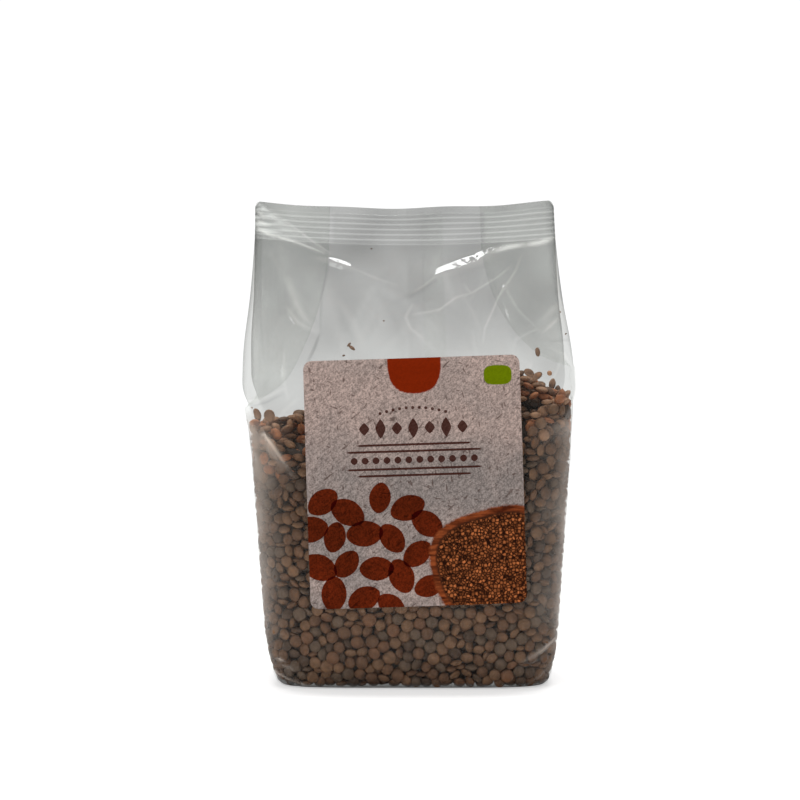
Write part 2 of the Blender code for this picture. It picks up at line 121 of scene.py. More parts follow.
# Creases of the front panel: places as x and height in mm, then half width and height of the
# ridge in mm, then its tone: above 0 a painted highlight makes the film clearer and paler along it,
# most so above 1, and below 0 a painted shade makes it darker
FRONT_CREASES = (
    (((-36.5, 159.6), (-29.8, 158.4), (-24.9, 156.5), (-19.6, 154.2)), 2.2, 0.90, 0.35),
    (((-21.2, 155.4), (-15.9, 153.1), (-11.4, 151.3), (-4.0, 148.7)), 1.0, 0.20, 0.35),
    (((-45.2, 150.5), (-42.5, 143.0), (-39.6, 138.0), (-34.3, 132.6)), 3.6, 0.5, 0.48),
    (((-45.6, 140.8), (-40.7, 134.8), (-33.6, 131.5)), 2.0, 0.4, 0.55),
    (((-40.0, 154.0), (-37.5, 142.0), (-37.0, 126.0)), 7.0, 0.0, -0.16),
    (((-31.3, 150.0), (-27.6, 135.3), (-23.8, 126.0)), 7.0, 0.3, 0.14),
    (((-29.5, 160.0), (-32.3, 145.0), (-32.8, 137.1), (-32.5, 131.0)), 1.1, -0.3, -0.35),
    (((-33.0, 131.5), (-35.0, 126.0), (-37.7, 120.3)), 1.5, -0.7, -0.80),
    (((-58.0, 165.0), (-57.6, 134.8), (-56.5, 124.0), (-56.5, 109.4)), 2.6, 0.3, 0.35),
    (((-55.7, 166.0), (-55.2, 138.0), (-53.6, 124.0)), 0.8, -0.3, -0.35),
    (((-46.0, 126.2), (-46.0, 114.3), (-44.5, 107.9)), 1.2, 0.3, 0.45),
    (((-61.0, 104.7), (-56.8, 105.0), (-52.3, 106.4), (-46.0, 109.8)), 1.2, -0.7, -0.6),
    (((-60.5, 106.8), (-56.8, 106.9), (-52.3, 108.3), (-46.0, 111.6)), 1.1, 0.3, 0.7),
    (((-49.7, 99.9), (-40.7, 107.9)), 1.6, 0.4, 0.35),
    (((-63.5, 100.5), (-53.0, 91.0), (-44.0, 80.4)), 8.5, 0.4, 0.62),
    (((-64.0, 102.5), (-51.6, 92.4), (-43.4, 80.6)), 3.4, 0.3, 0.90),
    (((-52.5, 176.6), (-41.2, 169.0), (-29.8, 161.3)), 0.9, 0.35, 0.55),
    (((-57.0, 168.3), (-50.0, 166.6), (-41.2, 164.4), (-32.0, 161.3)), 1.1, 0.5, 0.90),
    (((-57.0, 7.4), (-46.0, 3.6), (-37.0, 0.8)), 1.9, 0.4, 0.64),
    (((-52.5, 4.0), (-46.0, 2.2), (-41.0, 0.8)), 1.6, -0.3, -0.9),
    (((-52.0, 9.4), (-47.5, 8.0), (-41.5, 7.2)), 3.0, 0.3, 0.50),
    (((-49.6, 10.9), (-46.0, 10.2)), 1.8, 0.2, 0.80),
    (((-55.5, 16.0), (-50.0, 9.0), (-43.5, 5.0)), 1.6, -0.6, -0.9),
    (((50.0, 11.6), (44.5, 9.4), (40.0, 8.2)), 1.6, -0.4, -0.9),
    (((59.0, 20.5), (51.5, 15.8), (41.5, 9.8)), 3.4, 0.4, 0.60),
    (((54.5, 9.5), (49.0, 4.5), (45.0, 2.5)), 1.3, 0.4, 0.45),
    (((-26.0, 143.0), (-20.0, 134.0), (-17.0, 126.0)), 3.5, 0.3, 0.22),
    (((10.0, 152.2), (19.4, 155.0), (25.4, 157.6), (30.2, 160.6), (38.5, 164.6)), 3.6, 1.50, 0.35),
    (((31.5, 161.4), (37.5, 163.0), (44.0, 163.8)), 2.0, 0.70, 1.3),
    (((43.5, 163.6), (49.0, 163.9), (56.0, 165.4)), 2.4, 0.70, 1.3),
    (((-57.5, 171.8), (-53.0, 170.3)), 1.5, 0.3, 1.3),
    (((-57.5, 169.2), (-51.0, 166.4)), 1.7, 0.3, 1.3),
    (((-57.0, 175.2), (-54.6, 173.3)), 1.3, 0.3, 1.1),
    (((47.4, 164.2), (50.6, 163.4), (53.8, 164.9)), 0.9, 0.3, 0.8),
    (((11.4, 153.1), (6.2, 149.4), (1.7, 146.4)), 1.0, 0.2, 0.45),
    (((1.5, 138.2), (11.1, 140.1), (17.4, 144.5), (23.0, 146.0)), 1.2, 0.25, 0.48),
    (((20.4, 149.0), (23.0, 146.0), (33.2, 152.4), (38.1, 156.1)), 1.0, 0.25, 0.55),
    (((1.2, 141.9), (-1.3, 137.1), (0.6, 133.0), (5.4, 129.6)), 1.5, 0.25, 0.48),
    (((42.1, 160.0), (39.9, 154.4), (33.1, 144.5), (27.9, 133.3), (27.2, 128.2)), 1.2, 0.25, 0.55),
    (((27.5, 163.0), (32.4, 148.3), (37.3, 133.3), (40.7, 123.3)), 0.9, -0.25, -0.16),
    (((43.0, 143.0), (43.5, 134.0), (49.0, 122.0)), 14.0, 0.0, -0.42),
    (((48.0, 135.2), (55.0, 141.4), (58.4, 131.8)), 3.0, 0.5, 0.42),
    (((35.4, 148.3), (39.8, 140.1), (47.4, 133.2)), 1.3, 0.25, 0.42),
    (((39.8, 129.4), (47.4, 133.2)), 0.9, 0.25, 0.45),
    (((56.0, 137.4), (49.6, 131.9)), 1.6, 0.4, 0.7),
    (((46.6, 132.0), (52.3, 128.8), (59.8, 129.0)), 1.2, -0.5, -0.5),
    (((50.6, 126.7), (57.1, 123.6), (60.2, 118.8)), 1.2, 0.25, 0.4),
    (((56.4, 123.0), (53.3, 116.2), (50.0, 111.3)), 1.2, 0.25, 0.38),
    (((54.6, 162.0), (55.6, 145.3), (57.9, 135.8), (59.4, 129.6)), 1.0, 0.3, 0.8),
)


def length_setting(name, description, default):
    return FloatProperty(name=name, description=description, default=default, min=0.0, unit="LENGTH")


def colour_setting(name, description, default):
    return FloatVectorProperty(
        name=name, description=description, default=default, size=3, subtype="COLOR"
    )


class FilmSizes(bpy.types.PropertyGroup):
    veil: FloatProperty(
        name="Veil", description="Share of light that one layer of a panel holds back",
        default=0.265, min=0.0, max=1.0, subtype="FACTOR",
    )
    sag: length_setting("Sag", "How far the film dips between lentils", 0.00026)
    tint: colour_setting("Tint", "Colour of the film's own haze", (0.105, 0.110, 0.106))


class LentilSizes(bpy.types.PropertyGroup):
    diameter: length_setting("Diameter", "Width of a middling lentil", 0.0048)
    thickness: length_setting("Thickness", "Thickness of a middling lentil", 0.0024)
    fill_left: length_setting("Fill at the left", "Height of the lentils at the bag's left side", 0.0955)
    fill_right: length_setting("Fill at the right", "Height of the lentils at the bag's right side", 0.1070)
    pocket: length_setting("Pocket", "How far the lentils fall short behind the front's middle", 0.0160)
    dome: length_setting("Dome", "How far the heap rises from the film to its middle", 0.0085)
    layers: IntProperty(
        name="Layers", description="Layers of lentils that lie against the film", default=3, min=1
    )


class LabelColours(bpy.types.PropertyGroup):
    paper: colour_setting("Paper", "Colour of the label's paper", (0.500, 0.380, 0.337))
    ink: colour_setting("Ink", "Colour of the red-brown fields", (0.250, 0.020, 0.002))
    green: colour_setting("Green", "Colour of the small green field", (0.17, 0.235, 0.001))


# Shape of the film


def smooth_step(value, low, high):
    share = np.clip((value - low) / (high - low), 0, 1)
    return share * share * (3 - 2 * share)


def profile_at(z):
    """Half width, half depth and squareness of the filled part."""
    return [np.interp(z, BODY_PROFILE[:, 0], BODY_PROFILE[:, k]) for k in (1, 2, 3)]


def middle_at(z):
    """How far the bag's middle stands to the right."""
    return np.interp(z, MIDDLE_LINE[:, 0], MIDDLE_LINE[:, 1])


def off_front(around):
    """Distance along the film from the middle of the front."""
    return np.abs(around - GIRTH / 2)


def off_panels(around):
    """Distance along the film from the nearer middle of the front and the back."""
    return np.minimum(off_front(around), GIRTH / 2 - off_front(around))


def quarter_tables():
    """A quarter outline at each table height, evenly spaced along its length: x and y."""
    heights = np.linspace(0, TABLE_TOP, TABLE_ROWS + 1)
    half_width, half_depth, squareness = (size[:, None] for size in profile_at(heights))
    angle = math.pi / 2 * np.sin(np.linspace(0, math.pi / 2, 193)) ** 2
    x = half_width * np.abs(np.sin(angle)) ** (2 / squareness)
    y = half_depth * np.abs(np.cos(angle)) ** (2 / squareness)
    length = np.cumsum(np.hypot(np.diff(x, axis=1), np.diff(y, axis=1)), axis=1)
    length = np.hstack([np.zeros((len(x), 1)), length])
    length /= length[:, -1:]
    shares = np.linspace(0, 1, TABLE_COLUMNS + 1)
    return [np.stack([np.interp(shares, *pair) for pair in zip(length, side)]) for side in (x, y)]


QUARTER_X, QUARTER_Y = quarter_tables()


def table_value(table, row, column):
    i = np.minimum(row.astype(int), table.shape[0] - 2)
    j = np.minimum(column.astype(int), table.shape[1] - 2)
    a, b = row - i, column - j
    low = table[i, j] * (1 - b) + table[i, j + 1] * b
    high = table[i + 1, j] * (1 - b) + table[i + 1, j + 1] * b
    return low * (1 - a) + high * a


def body_at(around, z):
    """x and y of the rounded, filled part of the film."""
    turns = around / GIRTH % 1.0 * 4
    quarter = np.floor(turns).astype(int) % 4
    share = turns - np.floor(turns)
    share = np.where(quarter % 2 == 1, 1 - share, share)
    row = np.clip(z, 0, TABLE_TOP) / TABLE_TOP * TABLE_ROWS
    x = table_value(QUARTER_X, row, share * TABLE_COLUMNS)
    y = table_value(QUARTER_Y, row, share * TABLE_COLUMNS)
    return np.where(quarter > 1, x, -x), np.where((quarter == 1) | (quarter == 2), -y, y)


def panel_depth(x, half_width, z):
    share = np.clip((z - PANEL_SHOULDER) / (SEAL_LOW - PANEL_SHOULDER), 0, 1)
    soft = share * share / (SOFT_START * (2 - SOFT_START))
    closed = np.where(share < SOFT_START, soft, (2 * share - SOFT_START) / (2 - SOFT_START))
    bulge = PILLOW * np.cos(math.pi / 2 * x / half_width) * np.sin(math.pi * closed)
    lean = (SHOULDER_HALF_DEPTH - SEAL_HALF_THICKNESS) * (1 - closed)
    return SEAL_HALF_THICKNESS + lean + bulge


def roof_at(around, z):
    """x and y of the leaning panels, the folded gussets and the seal."""
    half_width = np.interp(z, ROOF_RISE, ROOF_REACH)
    turned = np.where(around > GIRTH / 2, GIRTH - around, around)  # the left half stands for both
    side = np.where(around > GIRTH / 2, 1.0, -1.0)
    front = turned > LEFT_BACK + HALF_GUSSET
    from_middle = np.where(front, GIRTH / 2 - turned, turned)
    x = np.minimum(from_middle / HALF_PANEL, 1.0) * half_width
    depth = panel_depth(x, half_width, z)
    inward = np.clip((from_middle - HALF_PANEL) / HALF_GUSSET, 0, 1)
    shoulder = np.where(side < 0, SHOULDER_LEFT, SHOULDER_RIGHT)
    closed = np.clip((z - shoulder) / (SEAL_LOW - shoulder), 0, 1)
    x = x - HALF_GUSSET * np.sqrt(1 - (1 - closed) ** 2) * inward
    depth = depth * (1 - inward)
    return side * x, np.where(front, -depth, depth)


def rib_turn(z):
    return 2 * math.pi * RIB_COUNT * (z - SEAL_LOW) / (BAG_HEIGHT - FLAP_HEIGHT - SEAL_LOW)


def inside_seal(z):
    return (z > SEAL_LOW) & (z < BAG_HEIGHT - FLAP_HEIGHT)


def film_at(around, z):
    """The film's places, without creases."""
    around, z = np.broadcast_arrays(np.asarray(around, float), np.asarray(z, float))
    share = smooth_step(z, BLEND_LOW, BLEND_HIGH)
    body_x, body_y = body_at(around, z)
    roof_x, roof_y = roof_at(around, z)
    x = body_x + (roof_x - body_x) * share
    y = body_y + (roof_y - body_y) * share
    reach = np.minimum(1, np.abs(x) / np.interp(z, ROOF_RISE, ROOF_REACH))
    lift = CORNER_LIFT * (reach**2 - 0.5) * smooth_step(z, 0.150, SEAL_LOW)
    ribs = np.where(inside_seal(z), RIB_DEPTH * (1 - np.cos(rib_turn(z))) / 2, 0)
    return np.stack([x + middle_at(z), y - ribs + FRONT_SHIFT, z + lift], -1)


def unit(v):
    return v / np.maximum(np.linalg.norm(v, axis=-1, keepdims=True), 1e-12)


def film_normal(around, z):
    step = 0.0008
    along = film_at(around + step, z) - film_at(around - step, z)
    up = film_at(around, z + step) - film_at(around, z - step)
    return unit(np.cross(along, up))


def line_distance(x, z, points):
    """Distance of places from a line of points, and how far along it they lie, 0 to 1."""
    points = np.array(points) / 1000
    steps = np.linalg.norm(np.diff(points, axis=0), axis=1)
    starts = np.concatenate([[0], np.cumsum(steps)]) / steps.sum()
    nearest, along = np.full(x.shape, 1.0), np.zeros(x.shape)
    for k, (first, last) in enumerate(zip(points, points[1:])):
        run = last - first
        share = np.clip(((x - first[0]) * run[0] + (z - first[1]) * run[1]) / (run @ run), 0, 1)
        distance = np.hypot(x - first[0] - share * run[0], z - first[1] - share * run[1])
        closer = distance < nearest
        nearest = np.where(closer, distance, nearest)
        along = np.where(closer, starts[k] + share * (starts[k + 1] - starts[k]), along)
    return nearest, along


def crease_relief(x, z, creases):
    """How far the creases lift the film, and their tone: a painted highlight above 0, a painted shade
    below.
    """
    lift, pale, dark = np.zeros(x.shape), np.zeros(x.shape), np.zeros(x.shape)
    crumple = 1 + 0.08 * soft_waves(x, z, 12, 8, 0.0025, 0.006)
    for points, width, height, tone in creases:
        distance, along = line_distance(x, z, points)
        tent = np.clip(1 - distance / (width / 1000), 0, 1)
        fade = np.sin(math.pi * np.clip(along, 0.04, 0.96)) ** 0.5
        lift += height / 1000 * tent**1.15 * fade * crumple
        core = np.clip(1.15 - distance / (max(width * 0.50, 0.5) / 1000), 0, 1) * fade
        pale, dark = np.maximum(pale, tone * core), np.maximum(dark, -tone * core)
    return lift, pale - dark


def stronger(first, second):
    return np.where(np.abs(second) > np.abs(first), second, first)


def seeded_creases(seed, count, x_span, z_span, lengths, widths=(0.8, 2.2)):
    """Fine creases where nothing special shows: short lines that mostly run down from the seal."""
    draw = np.random.default_rng(seed)
    creases = []
    for _ in range(count):
        points = [(draw.uniform(*x_span), draw.uniform(*z_span))]
        turn, length = draw.normal(-1.57, 0.55), draw.uniform(*lengths)
        for angle in (turn, turn + draw.normal(0, 0.25)):
            x, z = points[-1]
            points.append((x + length / 2 * math.cos(angle), z + length / 2 * math.sin(angle)))
        # each crease's tone paints a faint highlight along it above 0 and a faint shade below 0
        width, height, tone = draw.uniform(*widths), draw.uniform(0.12, 0.40), draw.uniform(-0.2, 0.3)
        creases.append((points, width, height, tone))
    return creases


def soft_waves(x, z, seed, count, shortest, longest):
    """Gentle random waves from -1 to 1."""
    draw = np.random.default_rng(seed)
    total = np.zeros(x.shape)
    for _ in range(count):
        angle, length = draw.uniform(0, math.pi), draw.uniform(shortest, longest)
        phase = draw.uniform(0, 2 * math.pi)
        total += np.sin((x * math.cos(angle) + z * math.sin(angle)) * 2 * math.pi / length + phase)
    return total / math.sqrt(count)


def new_piece(name, vertices, faces, material, smooth=True):
    """A mesh object from arrays. Faces are an array of equal rows, or a list of lists."""
    mesh = bpy.data.meshes.new(name)
    mesh.from_pydata([tuple(v) for v in vertices], [], [tuple(f) for f in faces])
    mesh.update()
    if smooth:
        mesh.shade_smooth()
    mesh.materials.append(material)
    piece = bpy.data.objects.new(name, mesh)
    bpy.context.scene.collection.objects.link(piece)
    return piece


def add_values(piece, name, values):
    layer = piece.data.attributes.new(name, "FLOAT", "POINT")
    layer.data.foreach_set("value", np.asarray(values, np.float32))

def grid_faces(high, wide, start=0, closed=False, turned=False):
    """Faces between the rows of a grid of points, which may close round and may face the other way."""
    row, column = np.meshgrid(np.arange(high - 1), np.arange(wide if closed else wide - 1), indexing="ij")
    low, after = start + row * wide, (column + 1) % wide
    faces = np.stack([low + column, low + after, low + wide + after, low + wide + column], -1)
    return faces.reshape(-1, 4)[:, (0, 3, 2, 1) if turned else (0, 1, 2, 3)].tolist()


def stand_for_bag(piece):
    """Shows the piece in the place of the CAD's bag."""
    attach(piece, "root")
    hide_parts("bag")


# Materials


def material_with(name):
    made = bpy.data.materials.new(name)
    made.use_nodes = True
    made.node_tree.nodes.clear()
    output = made.node_tree.nodes.new("ShaderNodeOutputMaterial")
    return made, made.node_tree, output


def node(tree, kind, values=None, **settings):
    made = tree.nodes.new(kind)
    for name, value in settings.items():
        setattr(made, name, value)
    for name, value in (values or {}).items():
        socket = made.inputs[name]
        if isinstance(value, bpy.types.NodeSocket):
            tree.links.new(value, socket)
        else:
            socket.default_value = value
    return made


def maths(tree, operation, first, *others, clamp=False):
    """One operation between values, from the first to the last."""
    for other in others or (0.0,):
        made = node(tree, "ShaderNodeMath", {0: first, 1: other}, operation=operation, use_clamp=clamp)
        first = made.outputs[0]
    return first


def mixed(tree, share, first, second, blend="MIX"):
    made = node(tree, "ShaderNodeMix", data_type="RGBA", blend_type=blend)
    for name, value in (("Factor_Float", share), ("A_Color", first), ("B_Color", second)):
        socket = next(s for s in made.inputs if s.identifier == name)
        if isinstance(value, bpy.types.NodeSocket):
            tree.links.new(value, socket)
        elif name == "Factor_Float":
            socket.default_value = value
        else:
            socket.default_value = (*value[:3], 1)
    return next(s for s in made.outputs if s.identifier == "Result_Color")


def object_place(tree):
    return node(tree, "ShaderNodeTexCoord").outputs["Object"]


def height_of(tree, place):
    return node(tree, "ShaderNodeSeparateXYZ", {0: place}).outputs["Z"]


def attribute(tree, name):
    return node(tree, "ShaderNodeAttribute", attribute_name=name).outputs["Fac"]


def noise(tree, place, scale, detail):
    values = {"Vector": place, "Scale": scale, "Detail": detail}
    return node(tree, "ShaderNodeTexNoise", values).outputs["Fac"]


def ranged(tree, value, low, high, to_low=0.0, to_high=1.0):
    """The span from low to high stretched to another one, and cut off at its ends."""
    values = {"Value": value, "From Min": low, "From Max": high, "To Min": to_low, "To Max": to_high}
    return node(tree, "ShaderNodeMapRange", values).outputs["Result"]


def shaded(tree, colour, light):
    """A colour made lighter or darker by a value."""
    grey = node(tree, "ShaderNodeCombineColor", {0: light, 1: light, 2: light}).outputs[0]
    return mixed(tree, 1.0, colour, grey, "MULTIPLY")


def bumped(tree, height, strength, distance):
    values = {"Height": height, "Strength": strength, "Distance": distance}
    return node(tree, "ShaderNodeBump", values).outputs[0]


def principled(tree, colour, roughness, specular, **others):
    values = {"Base Color": colour, "Roughness": roughness, "Specular IOR Level": specular}
    values.update({name.replace("_", " "): value for name, value in others.items()})
    return node(tree, "ShaderNodeBsdfPrincipled", values).outputs[0]


def new_group(name, kind, inputs, outputs):
    """An empty node group, what its start gives and what its end takes."""
    tree = bpy.data.node_groups.new(name, kind)
    for way, sockets in (("INPUT", inputs), ("OUTPUT", outputs)):
        for label, form in sockets:
            tree.interface.new_socket(label, in_out=way, socket_type="NodeSocket" + form)
    return tree, tree.nodes.new("NodeGroupInput").outputs, tree.nodes.new("NodeGroupOutput").inputs


def mottle_group():
    """A shared effect: soft blotches and fine specks on Object coordinates."""
    inputs = (("Place", "Vector"), ("Blotch scale", "Float"), ("Speck scale", "Float"))
    outputs = (("Blotches", "Float"), ("Specks", "Float"))
    tree, take, give = new_group("Mottle", "ShaderNodeTree", inputs, outputs)
    tree.links.new(noise(tree, take["Place"], take["Blotch scale"], 3.0), give["Blotches"])
    specks = noise(tree, take["Place"], take["Speck scale"], 1.0)
    tree.links.new(ranged(tree, specks, 0.62, 0.72), give["Specks"])
    return tree


def mottled(tree, mottle, place, blotch_scale, speck_scale):
    values = {"Place": place, "Blotch scale": blotch_scale, "Speck scale": speck_scale}
    return node(tree, "ShaderNodeGroup", values, node_tree=mottle).outputs


def film_material():
    """Clear, slightly grey film, paler and whiter with painted highlights along its creases and painted
    sheen where it lies loose.
    """
    settings = bpy.context.scene.bag_film
    made, tree, output = material_with("clear_film")
    place, pale, veil = object_place(tree), attribute(tree, "pale"), attribute(tree, "veil")
    # the painted light turns the film warm white and less clear
    colour = mixed(tree, pale, settings.tint, (1.0, 0.82, 0.68))
    ripple = bumped(tree, noise(tree, place, 170.0, 3.0), 0.10, 0.001)
    shader = principled(tree, colour, 0.09, 1.0, Normal=ripple)
    greyer = ranged(tree, height_of(tree, place), 0.112, 0.158, settings.veil, settings.veil + 0.19)
    solid = maths(tree, "MULTIPLY", greyer, veil)
    whitened = maths(tree, "MULTIPLY", pale, maths(tree, "ADD", maths(tree, "MULTIPLY", pale, 0.45), 0.30))
    edge = node(tree, "ShaderNodeLayerWeight", {"Blend": 0.25}).outputs["Facing"]
    shares = (maths(tree, "MULTIPLY", veil, 0.13), maths(tree, "MULTIPLY", pale, 0.55), 0.05)
    edge = maths(tree, "MULTIPLY", edge, maths(tree, "ADD", *shares))
    solid = maths(tree, "ADD", maths(tree, "ADD", solid, whitened), edge, clamp=True)
    clear = node(tree, "ShaderNodeBsdfTransparent", {"Color": (0.994, 1.0, 0.991, 1.0)})
    mix = node(tree, "ShaderNodeMixShader", {0: solid, 1: clear.outputs[0], 2: shader})
    tree.links.new(mix.outputs[0], output.inputs["Surface"])
    return made


def lentil_material(name, first, second, specks, mottle):
    """A seed coat between two colours, one shade to a lentil, with blotches and dark specks."""
    made, tree, output = material_with(name)
    effect = mottled(tree, mottle, object_place(tree), 520.0, 1500.0)
    colour = mixed(tree, attribute(tree, "shade"), first, second)
    colour = shaded(tree, colour, ranged(tree, effect["Blotches"], 0.3, 0.7, 0.72, 1.22))
    colour = mixed(tree, maths(tree, "MULTIPLY", effect["Specks"], specks), colour, (0.035, 0.024, 0.016))
    bump = bumped(tree, effect["Blotches"], 0.25, 0.0004)
    tree.links.new(principled(tree, colour, 0.52, 0.22, Normal=bump), output.inputs["Surface"])
    return made


def shape_group():
    """A shared effect: one printed oval or box with soft, slightly uneven edges."""
    sizes = ("Centre across", "Centre up", "Half width", "Half height", "Turn", "Squareness")
    inputs = [("Place", "Vector")] + [(name, "Float") for name in sizes]
    tree, take, give = new_group("Printed shape", "ShaderNodeTree", inputs, (("Mask", "Float"),))
    centre = node(tree, "ShaderNodeCombineXYZ", {0: take["Centre across"], 2: take["Centre up"]})
    offset = {0: take["Place"], 1: centre.outputs[0]}
    offset = node(tree, "ShaderNodeVectorMath", offset, operation="SUBTRACT")
    turned = {"Vector": offset.outputs[0], "Angle": take["Turn"]}
    turned = node(tree, "ShaderNodeVectorRotate", turned, rotation_type="Y_AXIS")
    parts = node(tree, "ShaderNodeSeparateXYZ", {0: turned.outputs[0]}).outputs
    powers = []
    for part, half in ((parts["X"], take["Half width"]), (parts["Z"], take["Half height"])):
        share = maths(tree, "ABSOLUTE", maths(tree, "DIVIDE", part, half))
        powers.append(maths(tree, "POWER", share, take["Squareness"]))
    root = maths(tree, "DIVIDE", 1.0, take["Squareness"])
    reach = maths(tree, "POWER", maths(tree, "ADD", *powers), root)
    wobble = maths(tree, "SUBTRACT", noise(tree, take["Place"], 1200.0, 2.0), 0.5)
    reach = maths(tree, "ADD", reach, maths(tree, "MULTIPLY", wobble, 0.05))
    tree.links.new(ranged(tree, reach, 1.0, 0.96), give["Mask"])
    return tree


def printed_fields(ink, green):
    """The label's fields of colour in mm from its middle: across, up, half width, half height,
    turn in degrees, squareness, colour and how far it covers the paper. A multiplied colour lets
    the paper and the fields below it show through."""
    dark, stain = (0.055, 0.011, 0.006), (0.330, 0.052, 0.013)
    fields = [(1.0, 45.0, 10.0, 12.5, 0, 2.7, ink, 1.0, "MIX")]
    for k in range(11):
        rise = 27.6 - 0.075 * (k - 5) ** 2
        fields.append((2.4 * (k - 5), rise, 0.62, 0.62, 45, 1.6, dark, 0.9, "MIX"))
    for k in range(7):
        tall = 3.6 if k % 2 else 2.3
        fields.append((-18 + 6 * k, 20.2, 1.9, tall, 0, 1.3, dark, 0.94, "MIX"))
    for up, wide in ((14.2, 21.0), (11.8, 25.0), (5.4, 25.0), (3.0, 21.0)):
        fields.append((0.0, up, wide, 0.42, 0, 8, dark, 0.94, "MIX"))
    for k in range(12):
        fields.append((-22 + 4 * k, 8.6, 1.25, 1.25, 45, 2.2, dark, 0.94, "MIX"))
    pods = (
        (-34, -6, 35), (-25, -10, -30), (-13, -5, 80), (-3, -9, 20), (4, -15, -35), (-30, -19, 75),
        (-19, -18, 5), (-9, -20, -55), (0, -26, 40), (-36, -30, -25), (-26, -29, 50), (-15, -31, 0),
        (-6, -34, -70), (4, -38, 20), (-31, -40, 85), (-20, -42, 25), (-10, -45, -40), (-39, -16, 10),
    )
    for k, (across, up, turn) in enumerate(pods):
        wide = 6.4 + 0.6 * math.sin(k * 2.3)
        fields.append((across, up, wide, wide * 0.70, turn, 1.8, stain, 1.0, "MULTIPLY"))
    fields.append((28.0, -30.0, 23.5, 20.0, 14, 2.9, "wood", 1.0, "MIX"))
    fields.append((28.0, -30.0, 21.2, 17.7, 14, 2.9, (0.050, 0.016, 0.008), 0.9, "MIX"))
    fields.append((28.3, -30.3, 20.8, 17.3, 14, 2.9, "seeds", 1.0, "MIX"))
    fields.append((31.5, 38.5, 5.2, 3.6, 0, 3.2, green, 1.0, "MIX"))
    return fields


def wood_colour(tree, local):
    """Grained wood for the tray's rim."""
    stretch = {"Vector": local, "Rotation": (0, 0.5, 0), "Scale": (0.15, 1.0, 1.0)}
    grain = noise(tree, node(tree, "ShaderNodeMapping", stretch).outputs[0], 900.0, 3.0)
    return mixed(tree, ranged(tree, grain, 0.35, 0.65), (0.080, 0.015, 0.005), (0.34, 0.080, 0.024))


def seed_colour(tree, local):
    """Small round seeds, light in the middle and dark between."""
    flat = node(tree, "ShaderNodeMapping", {"Vector": local, "Scale": (1.0, 0.0, 1.0)})
    size = {"Vector": flat.outputs[0], "Scale": 860.0, "Randomness": 0.72}
    cells = node(tree, "ShaderNodeTexVoronoi", size)
    gaps = node(tree, "ShaderNodeTexVoronoi", size, feature="DISTANCE_TO_EDGE")
    gap = ranged(tree, gaps.outputs["Distance"], 0.26, 0.04)
    rim = ranged(tree, cells.outputs["Distance"], 0.28, 0.80, 0.0, 0.80)
    tone = node(tree, "ShaderNodeSeparateColor", {0: cells.outputs["Color"]}).outputs[0]
    seed = mixed(tree, tone, (0.20, 0.058, 0.018), (0.66, 0.200, 0.064))
    return mixed(tree, maths(tree, "MAXIMUM", gap, rim), seed, (0.022, 0.006, 0.003))


def paper_material(mottle):
    """Fibrous, mottled paper with printed fields of colour, and painted shade that darkens it below its
    upper part.
    """
    colours = bpy.context.scene.bag_label
    made, tree, output = material_with("printed_paper")
    place = object_place(tree)
    moved = {"Vector": place, "Location": (-LABEL_CENTRE[0], 0, -LABEL_CENTRE[1])}
    turned = {"Vector": node(tree, "ShaderNodeMapping", moved).outputs[0], "Angle": LABEL_TURN}
    local = node(tree, "ShaderNodeVectorRotate", turned, rotation_type="Y_AXIS").outputs[0]
    grains, flecks = [], []
    for turn, scale in ((0.3, 3300.0), (1.35, 2500.0), (2.4, 1800.0)):
        along = {"Vector": place, "Rotation": (0, turn, 0), "Scale": (3.6, 1.0, 1.0)}
        fibres = node(tree, "ShaderNodeMapping", along, vector_type="TEXTURE").outputs[0]
        grains.append(noise(tree, fibres, scale, 3.0))
        flecks.append(ranged(tree, noise(tree, fibres, scale * 0.45, 0.0), 0.75, 0.80))
    grain = maths(tree, "DIVIDE", maths(tree, "ADD", *grains), 3.0)
    light = ranged(tree, grain, 0.42, 0.58, 0.70, 1.30)
    paper = shaded(tree, colours.paper, light)
    # painted shade: the paper darkens from a little above its middle downward and lightens a little near
    # its foot, as the light falls off down the label; random blotches join it
    rise = height_of(tree, local)
    low, lowest = ranged(tree, rise, 0.022, 0.002, 0.0, 0.95), ranged(tree, rise, -0.010, -0.040, 0.0, 0.35)
    blotches = mottled(tree, mottle, place, 60.0, 620.0)["Blotches"]
    cloud = ranged(tree, blotches, 0.35, 0.65, -0.25, 0.30)
    cloud = maths(tree, "ADD", cloud, maths(tree, "SUBTRACT", low, lowest), clamp=True)
    paper = mixed(tree, cloud, paper, mixed(tree, 1.0, paper, (0.60, 0.67, 0.70), "MULTIPLY"))
    fleck = maths(tree, "MULTIPLY", maths(tree, "MAXIMUM", *flecks), 0.65)
    colour = mixed(tree, fleck, paper, (0.09, 0.05, 0.04))
    fills = {"wood": wood_colour(tree, local), "seeds": seed_colour(tree, local)}
    shapes = shape_group()
    for *outline, turn, squareness, fill, cover, blend in printed_fields(colours.ink, colours.green):
        names = ("Centre across", "Centre up", "Half width", "Half height")
        values = {name: value / 1000 for name, value in zip(names, outline)}
        values.update({"Place": local, "Turn": math.radians(turn), "Squareness": squareness})
        mask = node(tree, "ShaderNodeGroup", values, node_tree=shapes).outputs["Mask"]
        fill = fills[fill] if isinstance(fill, str) else fill
        colour = mixed(tree, maths(tree, "MULTIPLY", mask, cover), colour, fill, blend)
    grainy = mixed(tree, 0.30, colour, shaded(tree, colour, light))
    shader = principled(tree, grainy, 0.85, 0.03, Normal=bumped(tree, grain, 0.35, 0.00015))
    tree.links.new(shader, output.inputs["Surface"])
    return made


# Lentils


def pocket_depth(x, sizes):
    """How far the lentils lie lower behind the middle of the front than at its sides."""
    return sizes.pocket * np.minimum(smooth_step(x, -0.0570, -0.0450), smooth_step(-x, -0.0525, -0.0425))


def side_level(x, sizes):
    across = (x / 0.0610 + 1) / 2
    return sizes.fill_left + (sizes.fill_right - sizes.fill_left) * smooth_step(across, -0.1, 1.1)


